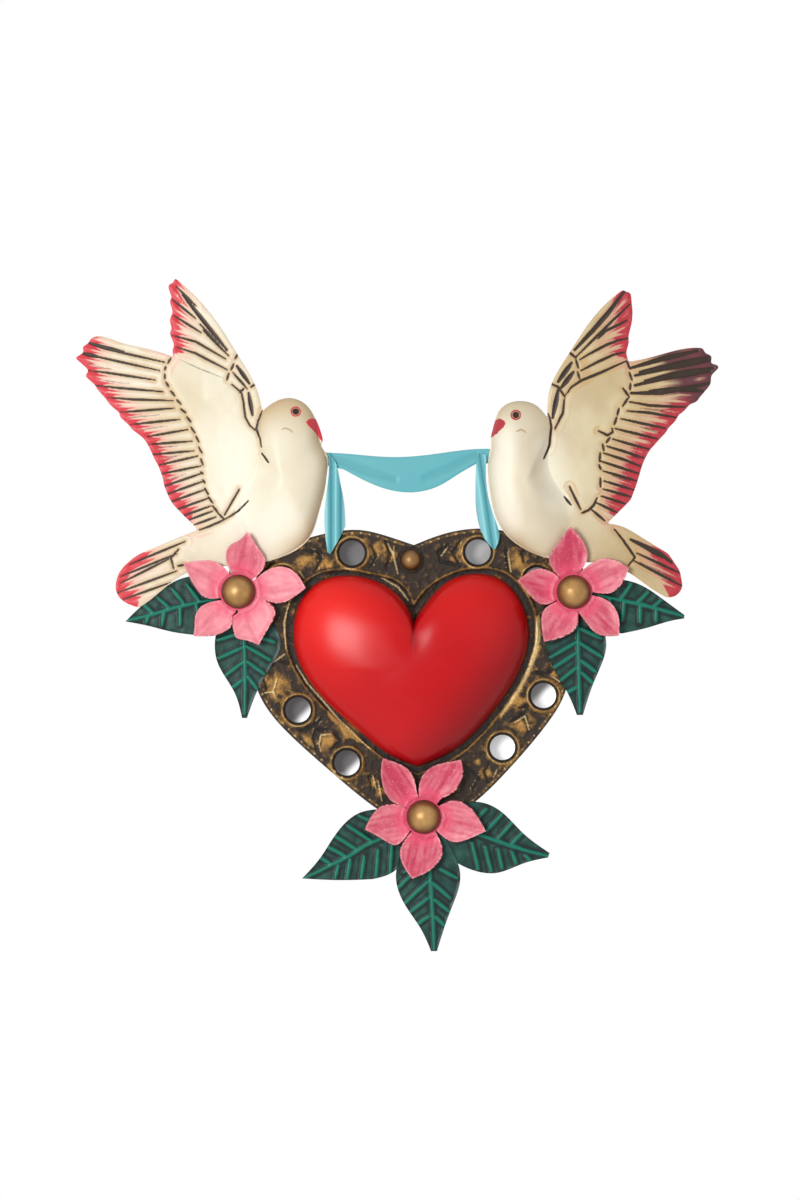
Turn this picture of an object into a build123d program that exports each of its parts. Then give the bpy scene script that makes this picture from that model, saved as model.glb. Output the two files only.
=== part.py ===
from build123d import *
import math
import os

# Wall ornament of painted tin: a pressed heart plate on a raised rim, a domed red
# heart, two doves holding a ribbon, three flowers with bosses, seven leaves and a
# hanger ring. Everything is drawn as seen from the front: x to the right, y up and
# z off the wall. place_on_wall() turns a finished piece into the ornament's own
# frame, where +Z is up, the wall is the plane Y = 0 and the front faces -Y.

# Overall size, in millimetres
ornament_width = 322.0
# Places of the outlines in the front view, in picture pixels
left_end_px = 75.0
right_end_px = 719.0
nail_px = (413.0, 571.0)

# Tin sheet and soldering, in millimetres
sheet = 0.6
band_height = 9.4
band_inset = 1.5
overrun = 2.0
# How many stretches an outline beside another is drawn in
offset_steps = 24

# Heart plate
hole_diameter = 12.6
collar_diameter = 17.2
collar_height = 1.2
rim_offset = 3.7
rim_width = 0.9
rim_height = 0.8
bead_inset = 1.1
bead_width = 1.0
bead_height = 0.4

# Red heart
heart_rise = 20.0
heart_wall = 0.7

# Top stud
stud_diameter = 10.0
stud_rise = 4.2
stud_cup_diameter = 12.4
stud_cup_rise = 1.0
stud_shank_diameter = 2.6
stud_tail_diameter = 5.0
stud_tail_rise = 0.8

# Doves
dove_rise = 10.5
dove_wall = 0.8
tab_width = 9.0

# Ribbon
tail_fold_rise = 1.1

# Flowers, bosses and their posts
boss_diameter = 17.2
boss_rise = 8.2
boss_wall = 0.7
flower_standoff = 2.6
flower_seat_margin = 0.6
petal_lift = 3.4
petal_reach = 34.0
post_pin_diameter = 3.0
post_shoulder_diameter = 6.6
post_head_diameter = 5.6
post_head_rise = 1.0
post_tip_rise = 1.4
pin_clearance = 0.05

# Leaves
midrib_width = 1.6
midrib_rise = 0.5
vein_width = 1.1
vein_rise = 0.35

# Hanger ring and its strap
wire_diameter = 1.6
ring_width = 17.0
ring_height = 14.0
ring_gap = 0.4
ring_running_clearance = 0.08
strap_width = 8.0
strap_tab_length = 5.0

# Heights off the wall, worked out from the sizes above
plate_back = band_height
plate_front = plate_back + sheet
low_leaf_level = plate_front
mid_leaf_level = low_leaf_level + sheet
dove_level = mid_leaf_level + sheet
shoulder_level = dove_level + sheet
flower_level = shoulder_level + flower_standoff
boss_level = flower_level + sheet
swag_level = dove_level - sheet
tail_level = plate_front + collar_height
mm_per_px = ornament_width / (right_end_px - left_end_px)
wire_radius = wire_diameter / 2
bore_radius = wire_radius + ring_running_clearance
ring_level = plate_back - ring_gap - wire_radius
hinge_y = -(ring_height - wire_diameter)

# Front view of the heart plate
plate_right_px = [(414, 545), (440, 535), (480, 528.5), (522, 537), (552, 562), (569, 600),
                  (572, 645), (563, 698), (547, 724), (510, 768), (470, 806), (420, 835)]
plate_left_px = [(420, 835), (377, 809), (330, 771), (290, 735), (263, 702), (250, 660),
                 (249, 620), (256, 584), (274, 558), (302, 540), (330, 532.5), (360, 530),
                 (390, 537), (414, 545)]
ring_hole_px = [(352, 553), (478, 552), (282, 580), (537, 580),
                (298, 710), (347, 763), (543.5, 695.5), (502.5, 747.5)]
heart_left_px = [(418, 767), (397, 759), (360, 732), (321, 696), (297, 657), (294, 621),
                 (305, 594), (325, 579), (352, 575.5), (377, 581), (396, 593), (409, 610),
                 (414, 622)]
heart_right_px = [(414, 622), (418, 615), (431, 597), (451, 579.5), (478, 573.7),
                  (500, 579), (519, 598), (529, 636), (516, 678), (488, 718), (453, 751),
                  (418, 767)]
heart_centre_px = (412, 662)
heart_cleft_depth_px = 40.0
heart_cleft_width_px = 24.0
stud_px = (411, 560)

# Shares of a dome's size and rise, from its foot to its crown
heart_dome_shares = [(1.0, 0.0), (0.985, 0.175), (0.94, 0.36), (0.86, 0.55), (0.73, 0.73),
                     (0.55, 0.875), (0.33, 0.965), (0.08, 1.0)]
rim_cleft_fill_share = 0.35
heart_cleft_fill_shares = [0.0, 0.02, 0.06, 0.14, 0.3, 0.55, 0.85, 1.0]
dove_dome_shares = [(1.0, 0.0), (0.975, 0.17), (0.92, 0.36), (0.82, 0.58), (0.68, 0.77),
                    (0.5, 0.91), (0.28, 0.985), (0.07, 1.0)]

# Front view of the left dove: runs of the outline, each from the end of the last
left_dove_runs_px = [
    ("curve", [(175, 278), (190, 291), (217, 322), (241, 360), (256, 387), (262.5, 411)]),
    ("curve", [(275, 401.8), (290, 398), (306.4, 405), (314.8, 417), (320.5, 430.6),
               (323.5, 441.5)]),
    ("curve", [(321, 444.5), (326.3, 453), (327.6, 468.5), (325.4, 486.5), (318, 516),
               (309, 539), (295, 551), (268, 561.5)]),
    ("line", [(248, 566), ("tab", (238.5, 591.6)), (229, 566)]),
    ("curve", [(188, 572.5), (172.6, 581.5), (151, 599.4), (139, 608)]),
    ("line", [(127, 603.5), (121, 599.4), (117.4, 594.7), (115.4, 587.5), (116.5, 579.5),
              (119.5, 572), (124.5, 565.7), (132, 559), (139.5, 554)]),
    ("curve", [(161, 545), (180, 537), (198, 530)]),
    ("line", [(191, 522), (186, 518), (180, 511.5), (174, 505.5), (170, 499.5),
              (166.5, 491.5), (164, 485), (163, 478), (158.5, 466), (155, 460),
              (151, 451), (146.3, 441.8), (141.8, 436.7), (131.5, 429), (130, 426),
              (120, 417), (119.4, 412.3), (114, 408.5), (108.5, 403), (106.5, 399.5),
              (97, 389), (95.6, 385.5), (85, 376), (89, 370.5), (81, 363), (75, 358),
              (84, 352.5), (82.3, 347), (89, 343), (90, 339.2)]),
    ("curve", [(93, 337.5), (118.7, 341.8), (150, 349.5), (174, 357)]),
    ("line", [(172, 351), (174.5, 345.5), (169.5, 333), (172, 329), (169.5, 320),
              (173, 312), (169.5, 301), (172, 298), (168, 287), (169, 284), (173, 283.5),
              (175, 278)]),
]
left_body_px = [(320, 446), (325, 457), (326, 470), (323.8, 486), (316.5, 515), (307.5, 537),
                (293, 549), (270, 557), (254, 548), (243, 532), (237, 513), (242, 493),
                (253, 470), (260, 453), (259, 438), (259.5, 426), (264, 413), (276, 403.5),
                (290, 400), (305, 406.5), (313, 418)]
left_body_centre_px = (285, 482)

# Front view of the right dove
right_dove_runs_px = [
    ("curve", [(547.4, 418), (549.5, 390), (557, 372.6), (570, 352), (589.3, 322.6),
               (610, 300), (623, 289.6)]),
    ("line", [(626.3, 292), (630.7, 292.8), (632.6, 311.7), (632, 321.4), (628.2, 337),
              (629, 342), (626, 353), (628.5, 362)]),
    ("curve", [(640, 359.8), (670, 352), (690, 348), (703, 348)]),
    ("line", [(704.7, 353), (712, 356), (710.5, 363.4), (718, 365.3), (719, 367.7),
              (711, 375.6), (710.8, 384), (703.8, 392.7), (699, 398), (697, 401.8),
              (689.8, 404.2), (683.7, 411.5), (678.8, 414.6), (675.2, 421.3),
              (667.6, 428.6), (666.7, 431.6), (658, 440.8), (649, 451), (643.5, 461.5),
              (641.5, 467.5), (636, 486), (630.7, 499.8), (625, 505.7), (613, 517.5),
              (607, 523.4)]),
    ("curve", [(620, 525.8), (639.5, 536), (668.3, 553.6)]),
    ("line", [(675.7, 564.7), (680, 571.3), (682.6, 586), (680, 592), (675, 596.4),
              (667.5, 598)]),
    ("curve", [(654.3, 590.5), (638.8, 579.4), (622, 569), (583, 562)]),
    ("line", [("tab", (573.4, 592)), (564, 561)]),
    ("curve", [(540, 556), (521, 547), (504.6, 533), (495.8, 517.5), (490.6, 498.4),
               (488, 478.5), (488.4, 460), (491.4, 443)]),
    ("line", [(490.5, 438)]),
    ("curve", [(494.3, 423.2), (499.2, 410.6), (508.3, 403.3), (520, 401), (535, 404.7),
               (547.4, 418)]),
]
right_body_px = [(492.5, 447), (490, 460), (489.6, 478.5), (492.2, 498), (497.3, 517),
                 (506, 532), (522, 545.3), (541, 554), (556, 553), (568, 541), (574, 522),
                 (569, 500), (557, 478), (549.5, 456), (550, 436), (549.5, 424),
                 (544, 414.5), (534, 406), (520, 402.6), (509, 405), (501, 412),
                 (496, 424), (493, 436)]
right_body_centre_px = (524, 484)

# Front view of the ribbon
swag_runs_px = [
    ("curve", [(316, 452), (350, 454), (390, 457), (433, 454.2), (477, 449), (498, 449)]),
    ("line", [(498, 463), (476, 464)]),
    ("curve", [(459.4, 473.5), (439.5, 485.6), (411, 492.4), (380, 487), (344, 469.6)]),
    ("line", [(316, 463), (316, 452)]),
]
left_tail_runs_px = [
    ("line", [(328.5, 453)]),
    ("curve", [(328.9, 470), (327.6, 485), (325.2, 504), (324.8, 530), (327.5, 552)]),
    ("line", [(330.3, 554.2)]),
    ("curve", [(338, 541), (345.6, 526)]),
    ("curve", [(343.6, 499), (340, 481), (335.6, 462.6), (331, 455)]),
    ("line", [(328.5, 453)]),
]
left_tail_folds_px = [(318, 0), (327.5, 1), (331.5, 0), (336, 1), (341, 0), (352, 1)]
left_tail_axis_px = [(330, 460), (330, 545)]
right_tail_runs_px = [
    ("curve", [(476, 465), (475.4, 495), (478.6, 523.5), (489.5, 545.3), (493.3, 549)]),
    ("line", [(495.3, 549)]),
    ("curve", [(499.3, 537.6), (496.5, 523.5), (490.4, 505.5), (486.5, 485),
               (485.9, 464.5), (486.5, 455)]),
    ("line", [(479, 453), (476, 465)]),
]
right_tail_folds_px = [(468, 0), (476, 1), (481, 0), (485.5, 1), (490, 0), (500, 1)]
right_tail_axis_px = [(481, 460), (493, 545)]

# Front view of the flowers: petals, each from its base round to its base
flower_centres_px = {"left": (238.5, 591.6), "right": (573.4, 592), "bottom": (423.5, 816.5)}
petals_px = {
    "left": [
        [(232, 576), (226.2, 561), (231, 545.5), (247, 532), (262, 550.3), (265.5, 562),
         (256, 577)],
        [(231, 575), (216, 562), (200, 560.7), (184, 563), (193.5, 584), (205.6, 597.4),
         (222, 598)],
        [(257, 578), (275.6, 567), (290.4, 569), (306, 588), (292, 598.5), (281, 603.2),
         (262, 599)],
        [(238, 613), (233.6, 620.3), (239, 632.4), (258, 645), (267.5, 629), (274.2, 612),
         (262, 598)],
        [(233, 615), (228.5, 628.4), (217.7, 635.8), (194, 636), (196.2, 615.6),
         (207, 604), (222, 600)],
    ],
    "right": [
        [(557, 575), (548.8, 561), (556, 545), (570, 526.5), (584.7, 545.6),
         (586.7, 559.7), (578, 573)],
        [(579, 573), (592.8, 562.4), (605, 558.4), (628, 568), (622.4, 582), (611, 592.7),
         (592, 592)],
        [(555, 574), (539.6, 568.7), (528, 572.5), (517.4, 580.6), (531, 596.7),
         (541, 604.5), (557, 600)],
        [(555, 602), (543, 611), (541.2, 624), (543.6, 641.6), (563.8, 636.4),
         (575.5, 628), (578, 610)],
        [(577, 610), (586.7, 624), (597, 634), (618.4, 635.5), (617, 613), (608, 601),
         (590, 595)],
    ],
    "bottom": [
        [(407, 808), (389.5, 795.3), (381.7, 778), (383.5, 757.3), (405, 765.6),
         (414.6, 779.4), (419, 798)],
        [(419, 798), (420.7, 779.4), (432, 765), (461, 758.5), (459.6, 782),
         (449.2, 795.3), (436, 805)],
        [(406, 808), (393.8, 803.7), (381, 806), (364.8, 829), (383, 839),
         (395, 844.7), (409, 832)],
        [(440, 805), (455, 799.8), (467, 804.5), (485.6, 830.5), (468, 838.5),
         (454, 841.7), (438, 832)],
        [(410, 833), (400.2, 850.4), (401.5, 861), (412, 878), (433.6, 866.8),
         (442.3, 853), (436, 832)],
    ],
}

# Front view of the leaves: outline runs, then the midrib and the side veins
leaf_runs_px = {
    "left_leaf_outer": [
        ("curve", [(125.5, 621.5), (137, 610), (155, 595), (180, 579), (210, 575)]),
        ("line", [("root", (238.5, 591.6))]),
        ("curve", [(222, 618), (208, 630), (193, 634.8)]),
        ("curve", [(172, 631.8), (150, 626.3), (125.5, 621.5)]),
    ],
    "left_leaf_lower": [
        ("curve", [(242, 718), (235, 693.7), (217, 661), (215, 640), (221, 615)]),
        ("line", [("root", (238.5, 591.6))]),
        ("curve", [(270, 618), (280.5, 645), (270, 668), (256, 693.7), (247, 718)]),
        ("line", [(242, 718)]),
    ],
    "right_leaf_outer": [
        ("curve", [(684.5, 615), (664, 600), (636, 583), (606, 578)]),
        ("line", [("root", (573.4, 592))]),
        ("curve", [(588, 616), (602, 629), (622, 633.5)]),
        ("curve", [(650, 627), (671.5, 620.7), (684, 618.5)]),
        ("line", [(684.5, 615)]),
    ],
    "right_leaf_lower": [
        ("curve", [(577, 715), (568, 693.7), (550, 661), (545.5, 640), (553, 617)]),
        ("line", [("root", (573.4, 592))]),
        ("curve", [(598, 617), (606.3, 643), (594.8, 680), (583, 715)]),
        ("line", [(577, 715)]),
    ],
    "bottom_leaf_left": [
        ("curve", [(302, 878.5), (318.6, 860), (340, 828.7), (360, 812.7), (383, 809)]),
        ("line", [("root", (423.5, 816.5))]),
        ("curve", [(407, 858), (390.4, 873.7), (372, 879.3)]),
        ("curve", [(340, 880.2), (302, 878.5)]),
    ],
    "bottom_leaf_middle": [
        ("curve", [(431, 951), (421.5, 930), (403.4, 902), (395.9, 877), (403, 848)]),
        ("line", [("root", (423.5, 816.5))]),
        ("curve", [(450, 846), (460.3, 875), (451.5, 908), (443, 931.7), (437, 951)]),
        ("line", [(431, 951)]),
    ],
    "bottom_leaf_right": [
        ("curve", [(549.6, 853), (523, 833), (498.6, 809.7), (481, 802.3), (460, 803)]),
        ("line", [("root", (423.5, 816.5))]),
        ("curve", [(450, 858), (471, 869.5), (496, 873), (523.6, 863.4), (548, 857.5)]),
        ("line", [(549.6, 853)]),
    ],
}
leaf_midribs_px = {
    "left_leaf_outer": [(130, 620), (196, 603)],
    "left_leaf_lower": [(244.5, 712), (244.5, 632)],
    "right_leaf_outer": [(679, 615), (622, 600)],
    "right_leaf_lower": [(580, 709), (578, 630)],
    "bottom_leaf_left": [(308, 876), (380, 840)],
    "bottom_leaf_middle": [(434, 945), (429, 862)],
    "bottom_leaf_right": [(543, 854), (470, 833)],
}
leaf_half_width_px = {
    "left_leaf_outer": 19, "left_leaf_lower": 29, "right_leaf_outer": 19,
    "right_leaf_lower": 28, "bottom_leaf_left": 27, "bottom_leaf_middle": 29,
    "bottom_leaf_right": 27,
}
leaf_levels = {
    "left_leaf_outer": mid_leaf_level, "left_leaf_lower": low_leaf_level,
    "right_leaf_outer": mid_leaf_level, "right_leaf_lower": low_leaf_level,
    "bottom_leaf_left": low_leaf_level, "bottom_leaf_middle": dove_level,
    "bottom_leaf_right": mid_leaf_level,
}
# Shares along the midrib, from the tip, where a pair of veins meets it, and how long
# each vein is beside the leaf's half width
vein_shares = [(0.22, 0.42), (0.42, 0.62), (0.62, 0.74), (0.84, 0.78)]
vein_angle = 48
ridge_end_share = 0.35


def place(px):
    # A picture pixel as a point of the front view, in millimetres from the nail
    return ((px[0] - nail_px[0]) * mm_per_px, (nail_px[1] - px[1]) * mm_per_px)


def place_on_wall(solid):
    # From the front view's x, y and height to X, Z and -Y
    return Plane.XZ.location * solid


def disc(px, diameter, low, high):
    return Pos(*place(px), (low + high) / 2) * Cylinder(diameter / 2, high - low)


def tab_edges(start, centre, end):
    # From one side of a tab, round its free end about the rivet, to the other side
    radius = tab_width / 2
    cx, cy = place(centre)
    ax, ay = (start[0] + end[0]) / 2 - cx, (start[1] + end[1]) / 2 - cy
    length = math.hypot(ax, ay)
    ux, uy = ax / length, ay / length
    side_x, side_y = -uy * radius, ux * radius
    if (start[0] - cx) * side_x + (start[1] - cy) * side_y < 0:
        side_x, side_y = -side_x, -side_y
    near = (cx + side_x, cy + side_y)
    far = (cx - side_x, cy - side_y)
    tip = (cx - ux * radius, cy - uy * radius)
    return near, [Line(start, near), ThreePointArc(near, tip, far)], far


def outline(runs):
    # A closed face from runs of curve and line; a "tab" or "root" entry goes round a
    # rivet, from the point before it to the point after it
    first = runs[0][1][0]
    edges = []
    here = place(first)
    for number, (kind, points) in enumerate(runs):
        points = points[1:] if number == 0 else points
        if kind == "curve":
            stops = [place(point) for point in points]
            edges.append(Spline([here] + stops))
            here = stops[-1]
            continue
        for index, point in enumerate(points):
            if point[0] in ("tab", "root"):
                if index + 1 < len(points):
                    after = points[index + 1]
                else:
                    after = runs[number + 1][1][0]
                near, tab, far = tab_edges(here, point[1], place(after))
                edges.extend(tab)
                here = far
            else:
                stop = place(point)
                if math.dist(here, stop) > 0:
                    edges.append(Line(here, stop))
                here = stop
    if math.dist(here, place(first)) > 0:
        edges.append(Line(here, place(first)))
    return make_face(Wire(edges).edges())


def raised(face, low, high):
    return extrude(Pos(0, 0, low) * face, amount=high - low, dir=(0, 0, 1))


def closed_curve(points):
    return make_face(Spline(points, periodic=True))


def dome(sections, levels):
    # A smooth lofted dome through flat sections, each at its level
    slices = [Pos(0, 0, level) * section for section, level in zip(sections, levels)]
    return loft(slices)


def drawn_in(points, centre, amount):
    # Each point moved towards the centre by a length
    moved = []
    for x, y in points:
        reach = math.dist((x, y), centre)
        share = (reach - amount) / reach
        moved.append((centre[0] + (x - centre[0]) * share, centre[1] + (y - centre[1]) * share))
    return moved


def scaled_points(points, centre, share):
    return [(centre[0] + (x - centre[0]) * share, centre[1] + (y - centre[1]) * share)
            for x, y in points]


def set_off(curves, amount):
    # A closed face whose outline runs beside a pair of curves that meet in two corners,
    # inside them by a length. The curves go round clockwise, with the inside on their
    # right hand
    def inward(curve, share):
        way = curve % share
        return (way.Y, -way.X)

    def corner(before, after):
        one, two = inward(before, 1), inward(after, 0)
        stretch = amount / (1 + one[0] * two[0] + one[1] * two[1])
        spot = after @ 0
        return (spot.X + (one[0] + two[0]) * stretch, spot.Y + (one[1] + two[1]) * stretch)

    sides = []
    for number, curve in enumerate(curves):
        points = [corner(curves[number - 1], curve)]
        for step in range(1, offset_steps):
            share = step / offset_steps
            spot, way = curve @ share, inward(curve, share)
            points.append((spot.X + way[0] * amount, spot.Y + way[1] * amount))
        points.append(corner(curve, curves[number - 1]))
        sides.append(Spline(points))
    return make_face(sides)


# Heart plate with its collars, rims and holes
def plate_curves():
    return [Spline([place(point) for point in plate_right_px]),
            Spline([place(point) for point in plate_left_px])]


def heart_section(share, fill, shrink):
    # The red heart's outline scaled by a share about its centre, with the cleft filled
    # by a share of its depth, and drawn in by a length
    centre = place(heart_centre_px)
    cleft_x = heart_left_px[-1][0]

    def lifted(px):
        away = (px[0] - cleft_x) / heart_cleft_width_px
        above = px[1] < heart_centre_px[1]
        lift = heart_cleft_depth_px * fill * math.exp(-away * away) if above else 0
        return place((px[0], px[1] - lift))

    left = scaled_points([lifted(point) for point in heart_left_px], centre, share)
    right = scaled_points([lifted(point) for point in heart_right_px], centre, share)
    if shrink:
        left = drawn_in(left, centre, shrink)
        right = drawn_in(right, centre, shrink)
    return make_face([Spline(left), Spline(right)])


def rim_section(gap):
    # The red heart's outline grown by a gap at its sides, with a shallower cleft
    half_width = place(heart_right_px[-5])[0] - place(heart_centre_px)[0]
    return heart_section(1 + gap / half_width, rim_cleft_fill_share, 0)


def make_heart_plate():
    edge = plate_curves()
    middle = (plate_back + plate_front) / 2
    plate = raised(make_face(edge), plate_back, plate_front)
    bead = set_off(edge, bead_inset) - set_off(edge, bead_inset + bead_width)
    plate += raised(bead, middle, plate_front + bead_height)
    rim = rim_section(rim_offset + rim_width) - rim_section(rim_offset)
    plate += raised(rim, middle, plate_front + rim_height)
    for px in ring_hole_px:
        plate += disc(px, collar_diameter, middle, tail_level)
    for px in ring_hole_px:
        plate -= disc(px, hole_diameter, plate_back - overrun, tail_level + overrun)
    plate -= disc(stud_px, stud_shank_diameter + 2 * pin_clearance,
                  plate_back - overrun, tail_level + overrun)
    plate -= disc(flower_centres_px["bottom"], post_pin_diameter + 2 * pin_clearance,
                  plate_back - overrun, tail_level + overrun)
    # The stud's cup and the lower leaves lie flat on the plate, so the edge bead stops there
    plate -= disc(stud_px, stud_cup_diameter + 2 * pin_clearance,
                  plate_front, tail_level + overrun)
    for name in ("left_leaf_lower", "right_leaf_lower", "bottom_leaf_left",
                 "bottom_leaf_right", "bottom_leaf_middle"):
        plate -= raised(outline(leaf_runs_px[name]), plate_front, tail_level + overrun)
    return plate


# The two strips that stand the plate off the wall, meeting at the cleft and the tip
def make_side_bands():
    edge = plate_curves()
    outer = set_off(edge, band_inset)
    inner = set_off(edge, band_inset + sheet)
    ring = raised(outer - inner, 0, plate_back)
    cleft = place(plate_right_px[0])
    tip = place(plate_right_px[-1])
    reach = ornament_width
    left_side = Polyline([(cleft[0], reach), cleft, tip, (tip[0], -reach), (-reach, -reach),
                          (-reach, reach), (cleft[0], reach)])
    half = raised(make_face(left_side), -overrun, plate_back + overrun)
    return ring & half, ring - half


def make_red_heart():
    outer, levels = [], []
    inner, inner_levels = [], []
    for (share, rise), fill in zip(heart_dome_shares, heart_cleft_fill_shares):
        outer.append(heart_section(share, fill, 0))
        levels.append(plate_front + heart_rise * rise)
        inner.append(heart_section(share, fill, heart_wall * min(1, 2 * share)))
        inner_levels.append(plate_front + (heart_rise - heart_wall) * rise)
    shell = dome(outer, levels) - dome(inner, inner_levels)
    mouth = raised(heart_section(1, 0, heart_wall), plate_front - overrun, plate_front)
    return shell - mouth


def cap_arc(reach, foot, rise):
    # The round profile of a cap, from its rim to its crown on the axis
    radius = (reach * reach + rise * rise) / (2 * rise)
    centre = foot + rise - radius
    half_lean = math.atan2(reach, foot - centre) / 2
    middle = (radius * math.sin(half_lean), centre + radius * math.cos(half_lean))
    return ThreePointArc((reach, foot), middle, (0, foot + rise))


def turned(edges, centre_px):
    # A profile of reach and height, turned about a line square to the wall
    return Pos(*place(centre_px), 0) * revolve(Plane.XZ * make_face(edges), Axis.Z)


# Top stud: a domed rivet in a shallow cup
def make_top_stud():
    foot = plate_front + sheet
    reach = stud_diameter / 2
    stud = turned([Line((0, foot), (reach, foot)), cap_arc(reach, foot, stud_rise),
                   Line((0, foot + stud_rise), (0, foot))], stud_px)
    stud += disc(stud_px, stud_shank_diameter, plate_back, foot)
    return stud + disc(stud_px, stud_tail_diameter, plate_back - stud_tail_rise, plate_back)


def make_top_stud_cup():
    cup = disc(stud_px, stud_cup_diameter, plate_front, plate_front + stud_cup_rise)
    cup -= disc(stud_px, stud_diameter + sheet, plate_front + sheet, tail_level + overrun)
    return cup - disc(stud_px, stud_shank_diameter + 2 * pin_clearance,
                      plate_front - overrun, tail_level + overrun)


def rivet_hole(centre_px):
    return disc(centre_px, post_pin_diameter + 2 * pin_clearance, 0, boss_level)


# A dove: a flat sheet with the head and body pressed out as one hollow dome
def make_dove(runs, body_px, centre_px, post_px):
    sheet_solid = raised(outline(runs), dove_level, shoulder_level)
    centre = place(centre_px)
    body = [place(point) for point in body_px]
    outer = []
    inner = []
    for share, rise in dove_dome_shares:
        outer.append(closed_curve(scaled_points(body, centre, share)))
        shrunk = drawn_in(body, centre, dove_wall)
        inner.append(closed_curve(scaled_points(shrunk, centre, share)))
    middle = dove_level + sheet / 2
    outer_levels = [middle + (shoulder_level + dove_rise - middle) * rise
                    for share, rise in dove_dome_shares]
    inner_top = shoulder_level + dove_rise - dove_wall
    inner_levels = [middle - dove_wall / 2 + (inner_top - middle + dove_wall / 2) * rise
                    for share, rise in dove_dome_shares]
    mouth = raised(inner[0], dove_level - overrun, inner_levels[0])
    dove = sheet_solid + dome(outer, outer_levels)
    dove -= dome(inner, inner_levels)
    dove -= mouth
    return dove - rivet_hole(post_px)


# Ribbon: a flat swag between the doves and a folded tail under each beak
def make_swag():
    return raised(outline(swag_runs_px), swag_level, swag_level + sheet)


def folded_strip(folds_px, axis_px):
    # A sheet folded in zigzags across the tail, long enough to pass both its ends
    top = place(axis_px[0])
    bottom = place(axis_px[1])
    lean = math.degrees(math.atan2(bottom[0] - top[0], top[1] - bottom[1]))
    low = [(place((x, 0))[0] - top[0], tail_level + fold * tail_fold_rise)
           for x, fold in folds_px]
    high = [(x, level + sheet) for x, level in low]
    zigzag = make_face(Polyline(low + high[::-1] + low[:1]))
    length = math.dist(top, bottom) + 2 * tab_width
    strip = extrude(Plane.XZ * zigzag, amount=length)
    strip = Pos(0, tab_width, 0) * strip
    return Pos(*top, 0) * (Rot(0, 0, lean) * strip)


def make_tail(runs, folds_px, axis_px):
    body = raised(outline(runs), tail_level - overrun,
                  tail_level + tail_fold_rise + sheet + overrun)
    return body & folded_strip(folds_px, axis_px)


# A flower: five petals in one sheet, flat under the boss and dished outside it
def make_flower(name):
    seat = boss_diameter / 2 + flower_seat_margin
    middle = place(flower_centres_px[name])
    face = Pos(*middle) * Circle(seat)
    for petal in petals_px[name]:
        points = [place(point) for point in petal]
        half = len(points) // 2
        face += make_face([Spline(points[:half + 1]), Spline(points[half:]),
                           Line(points[-1], middle), Line(middle, points[0])])
    reach = petal_reach + overrun
    lift = petal_lift * (reach - seat) ** 2 / (petal_reach - seat) ** 2
    bow = [(seat, flower_level), ((seat + reach) / 2, flower_level + lift / 4),
           (reach, flower_level + lift)]
    top = [(x, level + sheet) for x, level in bow]
    bowl = turned([
        Line((0, flower_level), bow[0]), ThreePointArc(*bow), Line(bow[2], top[2]),
        ThreePointArc(top[2], top[1], top[0]), Line(top[0], (0, boss_level)),
        Line((0, boss_level), (0, flower_level)),
    ], flower_centres_px[name])
    prism = raised(face, flower_level - overrun, flower_level + lift + overrun)
    return (bowl & prism) - rivet_hole(flower_centres_px[name])


def make_boss(name):
    radius = boss_diameter / 2
    inner = radius - boss_wall
    crown = boss_level + boss_rise
    return turned([
        cap_arc(radius, boss_level, boss_rise), Line((0, crown), (0, crown - boss_wall)),
        cap_arc(inner, boss_level, boss_rise - boss_wall),
        Line((inner, boss_level), (radius, boss_level)),
    ], flower_centres_px[name])


# A post: rivet head at the back, pin through the sheets, shoulder under the flower
def make_post(name):
    centre = flower_centres_px[name]
    back = plate_back if name == "bottom" else plate_front
    post = disc(centre, post_head_diameter, back - post_head_rise, back)
    post += disc(centre, post_pin_diameter, back, boss_level + post_tip_rise)
    return post + disc(centre, post_shoulder_diameter, shoulder_level, flower_level)


# A leaf: flat sheet, raised midrib and paired veins
def ridge(start, end, width, rise, level):
    # A bar with a triangular section, tapering to its end
    run = (end[0] - start[0], end[1] - start[1])
    length = math.hypot(*run)
    along = Plane(origin=(*start, level), x_dir=(-run[1] / length, run[0] / length, 0),
                  z_dir=(*run, 0))
    across = make_face(Polyline([(-width / 2, -sheet / 2), (0, rise), (width / 2, -sheet / 2),
                                 (-width / 2, -sheet / 2)]))
    fine = scale(across, by=ridge_end_share)
    return loft([along * across, along * (Pos(0, 0, length) * fine)], ruled=True)


def make_leaf(name):
    level = leaf_levels[name]
    face = outline(leaf_runs_px[name])
    leaf = raised(face, level, level + sheet)
    tip, root = [place(point) for point in leaf_midribs_px[name]]
    ribs = [ridge(root, tip, midrib_width, midrib_rise, level + sheet)]
    rib_x, rib_y = tip[0] - root[0], tip[1] - root[1]
    rib_length = math.hypot(rib_x, rib_y)
    half_width = leaf_half_width_px[name] * mm_per_px
    for side in (-1, 1):
        turn = math.radians(side * vein_angle)
        for along, reach in vein_shares:
            start = (tip[0] - rib_x * along, tip[1] - rib_y * along)
            way = (rib_x * math.cos(turn) - rib_y * math.sin(turn),
                   rib_x * math.sin(turn) + rib_y * math.cos(turn))
            run = half_width * reach / rib_length
            end = (start[0] + way[0] * run, start[1] + way[1] * run)
            ribs.append(ridge(start, end, vein_width, vein_rise, level + sheet))
    guard = raised(face, level, level + sheet + midrib_rise)
    for rib in ribs:
        leaf += rib & guard
    return leaf - rivet_hole(leaf_root_px(name))


def leaf_root_px(name):
    for kind, points in leaf_runs_px[name]:
        for point in points:
            if point[0] == "root":
                return point[1]


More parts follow.
